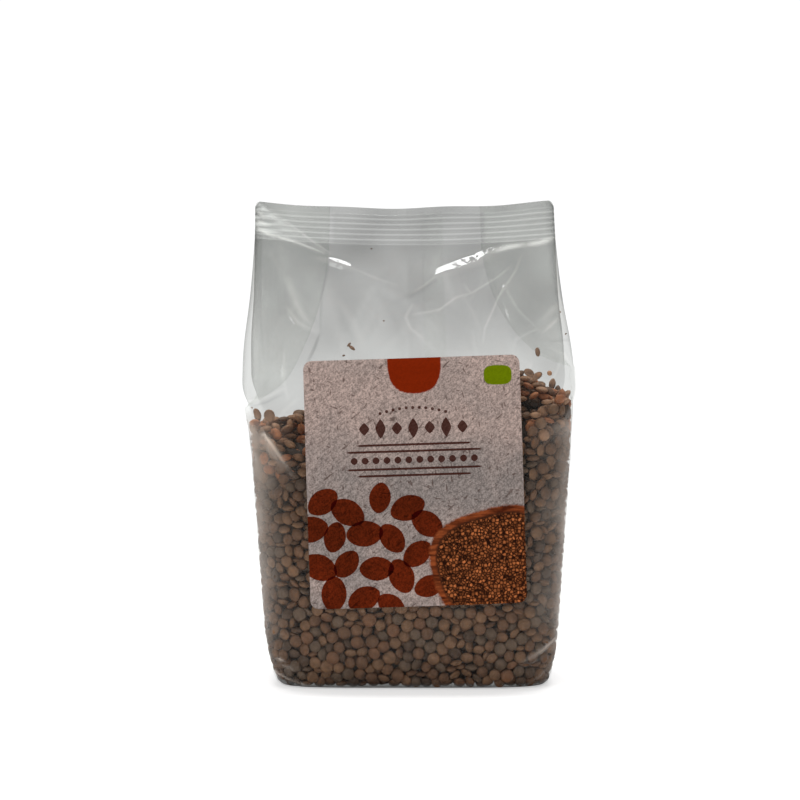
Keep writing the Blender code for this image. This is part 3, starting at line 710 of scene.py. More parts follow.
def fill_line(around, sizes):
    """Height of the lentils against the film."""
    x, _ = body_at(around, np.full(np.shape(around), 0.1))
    front = np.abs(around - GIRTH / 2) < HALF_PANEL
    ripple = 0.0013 * np.sin(around * 210) + 0.0009 * np.sin(around * 397 + 1.3)
    return side_level(x, sizes) + ripple - np.where(front, pocket_depth(x, sizes), 0)


def heap_top(x, y, sizes):
    """Height of the heap's top away from the film: a dome that slopes down to the front."""
    dome = np.clip(1 - np.abs(x / 0.060) ** 4, 0, 1) * np.clip(1 - (y / 0.029) ** 2, 0, 1) ** 0.7
    dome = sizes.dome * dome * (0.75 + 0.85 * smooth_step(x, -0.006, 0.049))
    slope = pocket_depth(x, sizes) * smooth_step(-y, 0.004, 0.022)
    ripple = 0.0010 * np.sin(x * 190 + 0.7) + 0.0009 * np.sin(y * 230 + x * 90)
    return side_level(x, sizes) + dome - slope + ripple


def tilted(normals, tilt, draw):
    """Directions tilted away from the given ones by angles, each to a random side."""
    side = unit(np.cross(normals, unit(draw.normal(size=normals.shape))))
    return normals * np.cos(tilt)[:, None] + side * np.sin(tilt)[:, None]


def tilted_up(tilt, draw):
    return tilted(np.tile((0.0, 0.0, 1.0), (len(tilt), 1)), tilt, draw)


def lie_directions(normals, z, layer, draw):
    """Faces of lentils by the film: most look outward, some are tilted and some lie flat."""
    count = len(normals)
    kind = draw.uniform(size=count)
    facing, flat = ((0.46, 0.26), (0.3, 0.4), (0.15, 0.5))[min(layer, 2)]
    facing = facing + 0.24 * smooth_step(0.045 - z, 0, 0.025)
    flat = flat * (1 - 0.6 * smooth_step(0.045 - z, 0, 0.025))
    tilt = np.where(kind < facing, np.abs(draw.normal(0, 0.38, count)), draw.uniform(0.5, 1.2, count))
    directions = tilted(normals, tilt, draw)
    up = tilted_up(np.abs(draw.normal(0, 0.4, count)), draw)
    return np.where((kind > 1 - flat)[:, None], up, directions)


def wall_layer(layer, sizes, draw):
    """Lentils on one layer behind the film: places, directions of their faces, and the layer."""
    pitch = sizes.diameter * 0.955
    depth = FIRST_DEPTH + layer * LAYER_STEP
    shrink = 1 - 2 * math.pi * depth / GIRTH
    columns = int(GIRTH * shrink / pitch)
    row_height = pitch * ROW_SHARE
    rows = int((sizes.fill_right + 0.004) / row_height)
    column, row = np.meshgrid(np.arange(columns), np.arange(rows))
    shift = draw.uniform(0, 1, rows)[:, None]
    around = (column + shift + draw.uniform(-0.5, 0.5, column.shape)) / columns * GIRTH
    z = (row + 0.55 + draw.uniform(-0.55, 0.55, row.shape)) * row_height
    around, z = around.ravel() % GIRTH, z.ravel()
    keep = (z < fill_line(around, sizes) - layer * 0.001) & (z > 0.0008)
    around, z = around[keep], z[keep]
    normals = film_normal(around, z)
    inward = depth + draw.uniform(-0.0012, 0.0012, len(z))[:, None]
    places = film_at(around, z) - normals * inward
    return places, lie_directions(normals, z, layer, draw), np.full(len(z), layer)


def jittered_rows(span_x, span_y, pitch, stagger, jitter, draw):
    """Places on rows, every second row shifted where they stagger, each moved a little at random."""
    x, y = np.meshgrid(np.arange(*span_x, pitch), np.arange(*span_y, pitch * ROW_SHARE))
    x = x + stagger * (np.arange(x.shape[0]) % 2)[:, None] * pitch / 2
    x = (x + draw.uniform(-jitter, jitter, x.shape) * pitch).ravel()
    y = (y + draw.uniform(-jitter, jitter, y.shape) * pitch).ravel()
    return x, y


def heap_layer(layer, sizes, draw):
    """Lentils on one layer of the heap's top, between the layers behind the film."""
    spans = (-0.052, 0.0521), (-0.021, 0.0211)
    x, y = jittered_rows(*spans, sizes.diameter * 0.98, 1, 0.25, draw)
    z = heap_top(x, y, sizes) - 0.0013 - layer * LAYER_STEP + draw.uniform(-0.0007, 0.0007, len(x))
    half_width, half_depth, _ = profile_at(z)
    inside = (np.abs(x) / (half_width - 0.008)) ** 4 + (np.abs(y) / (half_depth - 0.008)) ** 4 < 1
    places = np.stack([x, y, z], -1)[inside]
    tilt = np.abs(draw.normal(0, 0.45 if layer == 0 else 0.9, len(places)))
    return places, tilted_up(tilt, draw), np.full(len(places), layer)


def base_layer(sizes, draw):
    """Lentils that lie on the bag's base."""
    spans = (-0.046, 0.0461), (-0.020, 0.0201)
    x, y = jittered_rows(*spans, sizes.diameter * 0.95, 0, 0.4, draw)
    inside = (np.abs(x) / 0.044) ** 4 + (np.abs(y) / 0.0185) ** 4 < 1
    x, y = x[inside], y[inside]
    places = np.stack([x, y, draw.uniform(0.0014, 0.0024, len(x))], -1)
    return places, tilted_up(np.abs(draw.normal(0, 0.3, len(x))), draw), np.full(len(x), 1)


def wall_room(places, shapes):
    """How far each lentil reaches past the film, and the direction back inside."""
    z = places[:, 2]
    half_width, half_depth, squareness = profile_at(z)
    x, y = places[:, 0] - middle_at(z), places[:, 1] - FRONT_SHIFT
    a, b = np.abs(x) / half_width + 1e-6, np.abs(y) / half_depth + 1e-6
    total = a**squareness + b**squareness
    level = total ** (1 / squareness)
    slope = total ** (1 / squareness - 1)
    gradient = np.stack([
        slope * a ** (squareness - 1) / half_width * np.sign(x),
        slope * b ** (squareness - 1) / half_depth * np.sign(y),
        np.zeros(len(x)),
    ], -1)
    steep = np.linalg.norm(gradient, axis=1)
    outward = gradient / steep[:, None]
    reach = np.sqrt(np.einsum("ni,nij,nj->n", outward, shapes, outward))
    return (level - 1) / steep + reach + FILM_CLEARANCE, outward


def near_pairs(places, reach):
    tree = kdtree.KDTree(len(places))
    for i, place in enumerate(places):
        tree.insert(Vector(place), i)
    tree.balance()
    pairs = []
    for i, place in enumerate(places):
        pairs += [(i, j) for _, j, _ in tree.find_range(Vector(place), reach) if j > i]
    return np.array(pairs).T


def settle(places, directions, widths, thicknesses, layers, rounds):
    """Pushes overlapping lentils apart and keeps them inside the film."""
    neighbour_reach, new_neighbours, squeeze, push_share = 0.0053, 12, 0.97, 0.30
    cling_below, cling_most, cling_share, sink, floor_gap = 0.094, 0.0030, 0.06, 0.000012, 0.0002
    identity = np.eye(3)
    spread = (thicknesses / 2) ** 2 - (widths / 2) ** 2
    shapes = (widths / 2)[:, None, None] ** 2 * identity
    shapes = shapes + spread[:, None, None] * directions[:, :, None] * directions[:, None, :]
    low_reach = np.sqrt(shapes[:, 2, 2])
    for step in range(rounds):
        if step % new_neighbours == 0:
            first, second = near_pairs(places, neighbour_reach)
            joined = np.linalg.inv(shapes[first] + shapes[second])
        apart = places[second] - places[first]
        distance = np.maximum(np.linalg.norm(apart, axis=1), 1e-6)
        away = apart / distance[:, None]
        need = math.sqrt(2) / np.sqrt(np.einsum("ni,nij,nj->n", away, joined, away))
        overlap = np.maximum(need * squeeze - distance, 0)
        push = away * (overlap * push_share)[:, None]
        for axis in range(3):
            places[:, axis] += np.bincount(second, push[:, axis], len(places))
            places[:, axis] -= np.bincount(first, push[:, axis], len(places))
        past, outward = wall_room(places, shapes)
        places -= outward * np.maximum(past, 0)[:, None]
        loose = np.maximum(-past, 0) * (layers == 0) * (places[:, 2] < cling_below)
        places += outward * np.minimum(loose, cling_most)[:, None] * cling_share
        places[:, 2] -= sink
        places[:, 2] = np.maximum(places[:, 2], low_reach + floor_gap)
    return places


KINDS = (  # name, shares behind the film and on the heap, two colours, strength of dark specks
    ("tan", 0.29, 0.12, (0.198, 0.103, 0.053), (0.246, 0.130, 0.068), 0.25),
    ("brown", 0.37, 0.10, (0.150, 0.074, 0.038), (0.196, 0.098, 0.051), 0.35),
    ("grey", 0.18, 0.04, (0.128, 0.080, 0.050), (0.168, 0.107, 0.069), 0.4),
    ("russet", 0.06, 0.00, (0.177, 0.083, 0.041), (0.221, 0.103, 0.052), 0.2),
    ("dark", 0.10, 0.04, (0.083, 0.047, 0.028), (0.120, 0.070, 0.043), 0.7),
    # the heap's own kinds, warm and bright, are more russet and orange than the rest, and painted lighter
    # for the light that falls on the heap's top
    ("warm", 0.00, 0.40, (0.340, 0.182, 0.103), (0.450, 0.243, 0.138), 0.2),
    ("bright", 0.00, 0.30, (0.400, 0.148, 0.062), (0.540, 0.206, 0.086), 0.15),
)


def lentil_tree():
    """Geometry Nodes: a lens on each point, turned and sized by the point's own values."""
    inputs = (
        ("Points", "Geometry"), ("Diameter", "Float"), ("Thickness", "Float"), ("Rim sharpness", "Float"),
        ("Segments", "Int"), ("Rings", "Int"), ("Finish", "Material"),
    )
    outputs = (("Lentils", "Geometry"),)
    tree, take, give = new_group("Lentils on points", "GeometryNodeTree", inputs, outputs)
    ball = {"Segments": take["Segments"], "Rings": take["Rings"], "Radius": 1.0}
    ball = node(tree, "GeometryNodeMeshUVSphere", ball).outputs["Mesh"]
    place = node(tree, "GeometryNodeInputPosition").outputs[0]
    x, y, z = node(tree, "ShaderNodeSeparateXYZ", {0: place}).outputs
    rise = maths(tree, "POWER", maths(tree, "ABSOLUTE", z), take["Rim sharpness"])
    rise = maths(tree, "MULTIPLY", rise, maths(tree, "SIGN", z))
    half_width = maths(tree, "MULTIPLY", take["Diameter"], 0.5)
    half_thick = maths(tree, "MULTIPLY", take["Thickness"], 0.5)
    sides = ((x, half_width), (y, half_width), (rise, half_thick))
    place = {k: maths(tree, "MULTIPLY", *pair) for k, pair in enumerate(sides)}
    place = node(tree, "ShaderNodeCombineXYZ", place).outputs[0]
    lens = node(tree, "GeometryNodeSetPosition", {"Geometry": ball, "Position": place})
    lens = node(tree, "GeometryNodeSetShadeSmooth", {"Geometry": lens.outputs[0]})
    turn, size = (
        node(tree, "GeometryNodeInputNamedAttribute", {"Name": name}, data_type="FLOAT_VECTOR").outputs[0]
        for name in ("turn", "size")
    )
    turn = node(tree, "FunctionNodeEulerToRotation", {0: turn}).outputs[0]
    placed = {"Points": take["Points"], "Instance": lens.outputs[0], "Rotation": turn, "Scale": size}
    placed = node(tree, "GeometryNodeInstanceOnPoints", placed)
    real = node(tree, "GeometryNodeRealizeInstances", {0: placed.outputs[0]})
    dressed = {"Geometry": real.outputs[0], "Material": take["Finish"]}
    tree.links.new(node(tree, "GeometryNodeSetMaterial", dressed).outputs[0], give["Lentils"])
    return tree


def turns_of(directions, spins):
    """Euler turns that bring a lens's axis to each direction, after a spin about it."""
    upright, turns = Vector((0, 0, 1)), []
    for direction, spin in zip(directions, spins):
        turn = upright.rotation_difference(Vector(direction)) @ Quaternion(upright, spin)
        turns.append(tuple(turn.to_euler()))
    return np.array(turns)


def grow_lentils(name, tree, places, turns, sizes, shades, material, segments, rings):
    """One piece of lentils from points, through Geometry Nodes, as a plain mesh."""
    settings = bpy.context.scene.bag_lentils
    points = new_piece(name + "_points", places, [], material, smooth=False)
    for label, values in (("turn", turns), ("size", sizes)):
        layer = points.data.attributes.new(label, "FLOAT_VECTOR", "POINT")
        layer.data.foreach_set("vector", np.asarray(values, np.float32).ravel())
    add_values(points, "shade", shades)
    modifier = points.modifiers.new("lentils", "NODES")
    modifier.node_group = tree
    inputs = {item.name: item.identifier for item in tree.interface.items_tree if item.in_out == "INPUT"}
    values = {"Diameter": settings.diameter, "Thickness": settings.thickness, "Rim sharpness": 1.3}
    values.update({"Segments": segments, "Rings": rings, "Finish": material})
    for label, value in values.items():
        modifier[inputs[label]] = value
    bpy.context.view_layer.update()
    depsgraph = bpy.context.evaluated_depsgraph_get()
    mesh = bpy.data.meshes.new_from_object(points.evaluated_get(depsgraph))
    points.modifiers.remove(modifier)
    bpy.data.objects.remove(points)
    piece = bpy.data.objects.new(name, mesh)
    mesh.name = name
    bpy.context.scene.collection.objects.link(piece)
    stand_for_bag(piece)


# Operators, one for each piece or group of pieces


class LENTILBAG_OT_lentils(bpy.types.Operator):
    """Packs the lentils behind the film and grows them by kind"""

    bl_idname = "lentilbag.lentils"
    bl_label = "Pack the lentils"

    def execute(self, context):
        sizes = context.scene.bag_lentils
        draw = np.random.default_rng(PACK_SEED)
        parts = [wall_layer(k, sizes, draw) for k in range(sizes.layers)]
        parts += [heap_layer(k, sizes, draw) for k in range(4)] + [base_layer(sizes, draw)]
        places, directions, layers = (np.concatenate(values) for values in zip(*parts))
        count = len(places)
        wide = np.clip(draw.normal(1.0, 0.055, count), 0.84, 1.13)
        thick = np.clip(draw.normal(1.0, 0.09, count), 0.75, 1.25)
        rounds = FULL_ROUNDS
        places = settle(places, directions, wide * sizes.diameter, thick * sizes.thickness, layers, rounds)
        turns = turns_of(directions, draw.uniform(0, 6.28, count))
        stretch = draw.uniform(0.97, 1.03, count), draw.uniform(0.95, 1.03, count)
        scales = np.stack([wide * stretch[0], wide * stretch[1], thick], -1)
        shades = draw.uniform(size=count)
        kinds = draw.choice(len(KINDS), size=count, p=[kind[1] for kind in KINDS])
        x, y, z = places.T
        # the lentils near the heap's top take the heap's kinds, painted lighter for the light from above
        heaped = (z > heap_top(x, y, sizes) - HEAP_SHELL) & (np.abs(y) < HEAP_HALF_DEPTH)
        on_heap = draw.choice(len(KINDS), size=count, p=[kind[2] for kind in KINDS])
        kinds = np.where(heaped, on_heap, kinds)
        tree, mottle = lentil_tree(), mottle_group()
        for k, (name, _, _, first, second, specks) in enumerate(KINDS):
            material = lentil_material("lentil_" + name, first, second, specks, mottle)
            near, deep = ("lentils_", layers == 0, 12, 6), ("lentils_deep_", layers > 0, 8, 4)
            for start, layer, *detail in (near, deep):
                rows = (kinds == k) & layer
                points = places[rows], turns[rows], scales[rows], shades[rows]
                grow_lentils(start + name, tree, *points, material, *detail)
        return {"FINISHED"}


class LENTILBAG_OT_core(bpy.types.Operator):
    """Builds the bumpy core that closes the gaps behind the outer lentils: a dark mesh of painted shade,
    standing for the inner lentils in shadow
    """

    bl_idname = "lentilbag.core"
    bl_label = "Build the core"

    def execute(self, context):
        sizes = context.scene.bag_lentils
        around = np.linspace(0, GIRTH, CORE_COLUMNS + 1)[:-1]
        rings = []
        for share in np.linspace(0.0, 1.0, CORE_ROWS):
            z = 0.0030 + share * (fill_line(around, sizes) - 0.0100)
            inset = CORE_INSET - 0.0030 * smooth_step(0.02 - z, 0, 0.016)
            x, y = body_at(around, z)
            half_width, half_depth, _ = profile_at(z)
            x = x * (1 - inset / half_width)
            x = x + 0.0005 * np.sin(around * 1400 + share * 90) * np.sin(share * 150)
            rings.append(np.stack([x, y * (1 - inset / half_depth), z], -1))
        rim = rings[-1]
        for scale in (0.75, 0.5, 0.25, 0.05):
            top = rim.copy()
            top[:, :2] *= scale
            top[:, 2] = heap_top(top[:, 0], top[:, 1], sizes) - CORE_BELOW_TOP
            rings.append(top)
        vertices = np.concatenate(rings)
        faces = grid_faces(len(rings), CORE_COLUMNS, closed=True)
        faces += [range(CORE_COLUMNS)[::-1], range(len(vertices) - CORE_COLUMNS, len(vertices))]
        mottle = bpy.data.node_groups["Mottle"]
        # the core's dark brown is painted shade for the lentils in shadow inside
        material = lentil_material("lentil_core_shade", (0.055, 0.034, 0.022), (0.07, 0.045, 0.03), 0.5, mottle)
        piece = new_piece("lentils_core_shade", vertices, faces, material)
        add_values(piece, "shade", np.zeros(len(vertices)))
        stand_for_bag(piece)
        return {"FINISHED"}


class LENTILBAG_OT_film(bpy.types.Operator):
    """Lays the creased, ribbed film around the lentils"""

    bl_idname = "lentilbag.film"
    bl_label = "Lay the film"

    def execute(self, context):
        sizes, settings = context.scene.bag_lentils, context.scene.bag_film
        edges = (0, LEFT_BACK, LEFT_FRONT, RIGHT_FRONT, RIGHT_BACK, GIRTH)
        # the front and the rows with folds, the open headspace and the ribs are finer than the rest
        columns = np.concatenate([
            np.linspace(low, high, count, endpoint=False)
            for low, high, count in zip(edges, edges[1:], (36, 34, 240, 34, 36))
        ])
        rows = np.concatenate([
            (0.0, 0.0006, 0.0012, 0.0018),
            np.arange(0.0024, 0.0230, 0.0007),
            np.arange(0.0236, 0.0810, 0.0021),
            np.arange(0.0820, 0.0980, 0.0008),
            np.arange(0.0985, SEAL_LOW - 0.0003, 0.00054),
            np.linspace(SEAL_LOW, BAG_HEIGHT - FLAP_HEIGHT, 37),
            (BAG_HEIGHT - FLAP_HEIGHT / 2, BAG_HEIGHT),
        ])
        around, z = np.meshgrid(columns, rows)
        places, normals = film_at(around, z), film_normal(around, z)
        lift, tone = self.relief(places, around, z, sizes, settings)
        pale = self.haze(places[..., 0], around, z, sizes, tone)
        veil = self.veil(places[..., 0], around, z, sizes, tone)
        places = places + normals * lift[..., None]
        places[..., 2] = np.maximum(places[..., 2], 0)
        base = []
        for scale in (0.92, 0.7, 0.4, 0.1):
            ring = places[0].copy()
            centre = ring.mean(0)
            ring[:, :2] = centre[:2] + (ring[:, :2] - centre[:2]) * scale
            base.insert(0, ring)
        sheet = np.concatenate([*base, places.reshape(-1, 3)])
        wide = len(columns)
        seam, seam_faces = self.back_seam(len(sheet))
        faces = grid_faces(len(sheet) // wide, wide, closed=True) + [range(wide)[::-1]] + seam_faces
        piece = new_piece("film", np.concatenate([sheet, seam]), faces, film_material())
        for name, values, at_base, at_seam in (("pale", pale, 0, 0), ("veil", veil, 1.6, 0.09)):
            ends = np.full(len(base) * wide, at_base), np.full(len(seam), at_seam)
            add_values(piece, name, np.concatenate([ends[0], values.ravel(), ends[1]]))
        stand_for_bag(piece)
        return {"FINISHED"}

    def back_seam(self, start):
        """The lapped seam down the back, finely crimped, a little outside the panel."""
        x, z = np.meshgrid(np.linspace(*LAP_EDGES, 9), np.arange(0.0015, 0.1775, 0.0006))
        out = LAP_LIFT + CRIMP_HEIGHT * np.sin(z * 2 * math.pi / CRIMP_LENGTH)
        places = film_at(GIRTH - x, z) + film_normal(GIRTH - x, z) * out[..., None]
        return places.reshape(-1, 3), grid_faces(*x.shape, start, turned=True)

    def relief(self, places, around, z, sizes, settings):
        """How far creases, waves and the dips between lentils move the film, and its tone: painted
        highlights and shade along the creases.
        """
        x = places[..., 0]
        front = (around > LEFT_FRONT) & (around < RIGHT_FRONT)
        back = (around < LEFT_BACK) | (around > RIGHT_BACK)
        side = ~front & ~back
        left = (around > LEFT_BACK) & (around < LEFT_FRONT)
        across = around - np.where(left, LEFT_BACK + HALF_GUSSET, RIGHT_BACK - HALF_GUSSET)
        inner = smooth_step(np.abs(across), 0.0, 0.003)
        inner = inner * smooth_step(HALF_GUSSET - np.abs(across), 0, 0.004)
        head = smooth_step(z, 0.099, 0.116) * (1 - smooth_step(z, 0.1575, SEAL_LOW))
        drawn_lift, drawn = crease_relief(x, z, FRONT_CREASES)
        fine = seeded_creases(3, 26, (-50, 50), (128, 163), (8, 26))
        fine_lift, fine_tone = crease_relief(x, z, fine)
        behind = seeded_creases(5, 40, (-54, 54), (112, 164), (10, 36), (2.2, 4.5))
        back_lift, back_tone = crease_relief(x, z, behind)
        beside = seeded_creases(8, 34, (-26, 26), (108, 166), (8, 30), (2.0, 4.0))
        side_lift, side_tone = crease_relief(across, z, beside)
        lift = np.where(front, drawn_lift + fine_lift * 0.5, np.where(back, back_lift, side_lift * inner))
        # near the seal the front's painted highlights and shade go on the back layer too
        back_tone = np.where(z > 0.161, stronger(back_tone, drawn), back_tone)
        tone = np.where(front, stronger(drawn, fine_tone * 0.6), np.where(back, back_tone, side_tone))
        # the front's painted highlights and shade reach round the lower corners onto the gussets
        corner = side & (z < 0.104) & (off_front(around) < HALF_PANEL + 0.016)
        tone = np.where(corner, drawn, tone)
        edge = smooth_step(HALF_PANEL - off_front(around), 0, 0.006)
        edge = np.where(front, edge, np.where(back, 1.0, inner))
        lift = lift + 0.00055 * soft_waves(around, z, 21, 9, 0.014, 0.04) * edge * head
        self.trim_flap(places, z)
        # the seal is pressed nearly flat
        seal = z > SEAL_LOW + 0.0004
        lift = np.where(seal, lift * 0.15 + 0.00012 * soft_waves(around, z, 4, 5, 0.03, 0.08), lift)
        filled = z < fill_line(around, sizes)
        dips = settings.sag * (0.5 + 0.5 * soft_waves(around, z, 9, 14, 0.0045, 0.0075))
        clear_of_label = np.where(front, smooth_step(self.past_label(x, z), 0.0004, 0.004), 1)
        lift = np.minimum(lift, lift * clear_of_label)
        return lift - np.where(filled & (z > 0.004), np.clip(dips, 0, 0.0007), 0) * clear_of_label, tone

    def trim_flap(self, places, z):
        """Rounds the flap's corners and gives its top edge a slight wave."""
        x, radius = places[..., 0], 0.0022
        from_edge = np.clip(0.0560 - np.abs(x - MIDDLE_LINE[-1, 1]), 0, 1)
        drop = radius - np.sqrt(np.maximum(radius**2 - np.clip(radius - from_edge, 0, radius) ** 2, 0))
        places[..., 2] -= drop * smooth_step(z, 0.1760, 0.1790)
        places[..., 2] += 0.0003 * soft_waves(x, z * 0, 31, 4, 0.03, 0.09) * smooth_step(z, 0.168, 0.178)

    def covered(self, x, around, z, sizes):
        """Where lentils stand behind the film: pressed against it, or a little way off on the heap."""
        panel = smooth_step(HALF_PANEL - off_front(around), -0.004, -0.001)
        panel = np.maximum(panel, smooth_step(off_front(around), GIRTH / 2 - HALF_PANEL, GIRTH / 2))
        top = np.maximum(fill_line(around, sizes), panel * (heap_top(x, 0 * x, sizes) + 0.0010))
        return smooth_step(top - z, -0.0010, 0.0025)

    def haze(self, x, around, z, sizes, tone):
        """How white the film is painted: painted highlights along its creases, and painted sheen where it
        lies loose over the side lentils.
        """
        full = self.covered(x, around, z, sizes)
        pale = np.clip(tone, 0, 1) * (0.25 + 0.75 * full)
        # painted sheen over the lower corners, where the film lies loose over the side lentils
        corner = smooth_step(np.abs(x), 0.040, 0.057) * smooth_step(0.104 - z, 0, 0.008)
        gusset = smooth_step(off_panels(around), HALF_PANEL + 0.008, HALF_PANEL + 0.018)
        corner = corner * (1 - 0.7 * gusset)
        cloud = 0.56 + 0.13 * soft_waves(around, z, 17, 8, 0.008, 0.05)
        loose = 0.70 * corner * cloud * (1 - 0.5 * smooth_step(0.03 - z, 0, 0.02))
        across, up = x - FOLD_PLACE[0], z - FOLD_PLACE[1]
        past_fold = (across * FOLD_ACROSS[0] + up * FOLD_ACROSS[1]) / FOLD_SCALE
        # the film hangs loose to the lower left of its strong fold, and painted sheen whitens it there
        behind_fold = smooth_step(-past_fold, 0, 0.0008) * smooth_step(z, 0.072, 0.086) * (x < 0)
        return np.maximum(pale, loose + 0.12 * behind_fold * (z < 0.101))

    def veil(self, x, around, z, sizes, tone):
        """How grey the film looks: clearer in the gussets and where lentils press against it, with painted
        light and shade along its ribs and creases.
        """
        gusset = smooth_step(off_panels(around), HALF_PANEL - 0.001, HALF_PANEL + 0.003)
        empty = (1 - 0.90 * gusset) * (1 + 0.10 * soft_waves(around, z, 41, 10, 0.010, 0.05))
        four_layers = smooth_step(np.abs(x), 0.0275, 0.0287)
        fold_mark = np.exp(-(((np.abs(x) - HALF_GUSSET) / 0.0005) ** 2))
        # painted light and shade on the seal: a lighter and a darker band on each rib; the seal is clearer
        # where it has four layers and greyer along the gussets' folds
        ribs = -0.14 * np.cos(rib_turn(z)) - 0.10 * four_layers + 0.05 * fold_mark
        empty = empty * np.where(inside_seal(z), 1 + ribs, 1.0) * np.where(z > SEAL_LOW, 0.84, 1.0)
        # painted highlights clear the film along its pale creases and painted shade greys it along its dark
        # ones
        empty = empty * (1 - 0.74 * np.clip(tone, 0, 1.3) + 0.74 * np.clip(-tone, 0, 1))
        # a painted highlight: a fan of fine bright streaks spreads over the ribs from the left quarter to
        # the left end
        reach = np.clip((-0.0295 - x) / 0.0265, 0, 1)
        highlight_fan = smooth_step(0.1613 + 0.0174 * reach - z, 0, 0.0012)
        highlight_fan = highlight_fan * smooth_step(z - 0.1605 - 0.0065 * reach, 0, 0.0012) * (reach > 0)
        glint_streaks = np.clip(0.35 + 0.6 * soft_waves(x * 0.2, z, 23, 8, 0.0013, 0.003), 0, 1)
        empty = empty * (1 - highlight_fan * (0.08 + 0.50 * glint_streaks * smooth_step(reach, 0.35, 1)))
        # a second layer of film under the back seam
        lap = (around > RIGHT_BACK) & (x > -0.0107) & (x < 0.0062)
        empty = empty * np.where(lap, 1.08, 1.0)
        # where lentils press against it, the film greys towards the sides, with painted shade along its
        # dark creases
        full = 0.36 + 0.10 * smooth_step(np.abs(x), 0.043, 0.056) + 1.0 * np.clip(-tone, 0, 1)
        full = full + 1.7 * smooth_step(0.0024 - z, 0, 0.0016)  # the base's folded rim
        return empty + (full - empty) * self.covered(x, around, z, sizes)

    def past_label(self, x, z):
        """How far places lie outside the label's outline, below 0 inside it."""
        x, rise = x - LABEL_CENTRE[0], z - LABEL_CENTRE[1]
        across = x * math.cos(LABEL_TURN) + rise * math.sin(LABEL_TURN)
        up = -x * math.sin(LABEL_TURN) + rise * math.cos(LABEL_TURN)
        return np.maximum(np.abs(across) - LABEL_WIDTH / 2, np.abs(up) - LABEL_HEIGHT / 2)


class LENTILBAG_OT_bits(bpy.types.Operator):
    """Places the few loose lentils and crumbs that cling above the heap"""

    bl_idname = "lentilbag.bits"
    bl_label = "Place the loose bits"

    def execute(self, context):
        # around the film in mm from the middle of the front, height in mm, size, stretch, turn
        bits = (
            (-19.2, 126.5, 0.62, (1.0, 0.42, 0.5), -0.7),
            (-20.2, 127.6, 0.42, (1.0, 0.45, 0.5), 0.9),
            (-22.0, 123.6, 0.24, (1.0, 0.6, 0.7), 0.2),
            (-12.6, 164.0, 0.14, (1.0, 1.0, 1.0), 0.0),
            (-8.1, 136.2, 0.13, (1.0, 1.0, 1.0), 0.0),
            (44.8, 125.0, 0.78, (0.5, 1.0, 0.5), 0.1),
            (48.2, 117.2, 0.42, (0.9, 1.0, 0.8), 0.5),
            (43.9, 116.2, 0.90, (1.0, 0.60, 0.5), 0.6),
            (41.2, 117.4, 0.85, (1.0, 0.70, 0.5), -0.5),
            (55.0, 139.4, 0.13, (1.0, 1.0, 1.0), 0.0),
            (57.6, 131.0, 0.2, (0.6, 1.0, 0.8), 0.1),
            (-58.0, 104.0, 0.18, (1.0, 1.0, 1.0), 0.3),
            (-55.9, 101.6, 0.95, (0.62, 1.0, 0.6), 0.05),
            (-51.4, 101.2, 0.98, (0.9, 1.0, 0.55), -0.1),
        )
        values = np.array([(a, b, c, *d, e) for a, b, c, d, e in bits])
        around, z = GIRTH / 2 + values[:, 0] / 1000, values[:, 1] / 1000
        normals = film_normal(around, z)
        scales = values[:, 2:3] * values[:, 3:6]
        half_thick = context.scene.bag_lentils.thickness / 2
        places = film_at(around, z) - normals * (scales[:, 2:3] * half_thick + 0.0005)
        # the loose bits take the heap's warm kind, painted lighter for the light from above
        material = bpy.data.materials["lentil_warm"]
        turns = turns_of(normals, values[:, 6])
        tree = bpy.data.node_groups["Lentils on points"]
        grow_lentils("loose_bits", tree, places, turns, scales, np.full(len(z), 0.4), material, 12, 6)
        return {"FINISHED"}


def front_around(x, z):
    """Places around the film at which its front passes x."""
    low = np.full(x.shape, LEFT_FRONT - HALF_GUSSET)
    high = np.full(x.shape, RIGHT_FRONT + HALF_GUSSET)
    for _ in range(24):
        middle = (low + high) / 2
        short = film_at(middle, z)[..., 0] < x
        low, high = np.where(short, middle, low), np.where(short, high, middle)
    return (low + high) / 2


class LENTILBAG_OT_label(bpy.types.Operator):
    """Gives the paper label its printed finish, and a plain face where it meets the film"""

    bl_idname = "lentilbag.label"
    bl_label = "Print the label"

    def execute(self, context):
        material = paper_material(bpy.data.node_groups["Mottle"])
        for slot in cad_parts["label"].material_slots:
            slot.material = material
        columns, rows = 40, 46
        half = np.array((LABEL_WIDTH, LABEL_HEIGHT)) / 2 - BACKING_INSET
        inner = half - LABEL_CORNER
        flat = np.stack(np.meshgrid(np.linspace(-1, 1, columns), np.linspace(-1, 1, rows)), -1) * half
        over = np.maximum(np.abs(flat) - inner, 0)
        pull = over.max(-1) / np.maximum(np.hypot(over[..., 0], over[..., 1]), 1e-9)
        corner = (over > 0).all(-1)[..., None]
        flat = np.where(corner, np.sign(flat) * (inner + over * pull[..., None]), flat)
        cos, sin = math.cos(LABEL_TURN), math.sin(LABEL_TURN)
        x = LABEL_CENTRE[0] + flat[..., 0] * cos - flat[..., 1] * sin
        z = LABEL_CENTRE[1] + flat[..., 0] * sin + flat[..., 1] * cos
        around = front_around(x, z)
        places = film_at(around, z) + film_normal(around, z) * BACKING_LIFT
        made, tree, output = material_with("label_backing")
        # the backing is painted paler than the paper, standing for light that shines through the paper
        paper = principled(tree, (0.90, 0.86, 0.82, 1), 0.85, 0.5)
        tree.links.new(paper, output.inputs["Surface"])
        faces = grid_faces(rows, columns, turned=True)
        backing = new_piece("label_backing", places.reshape(-1, 3), faces, made)
        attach(backing, "root")
        return {"FINISHED"}


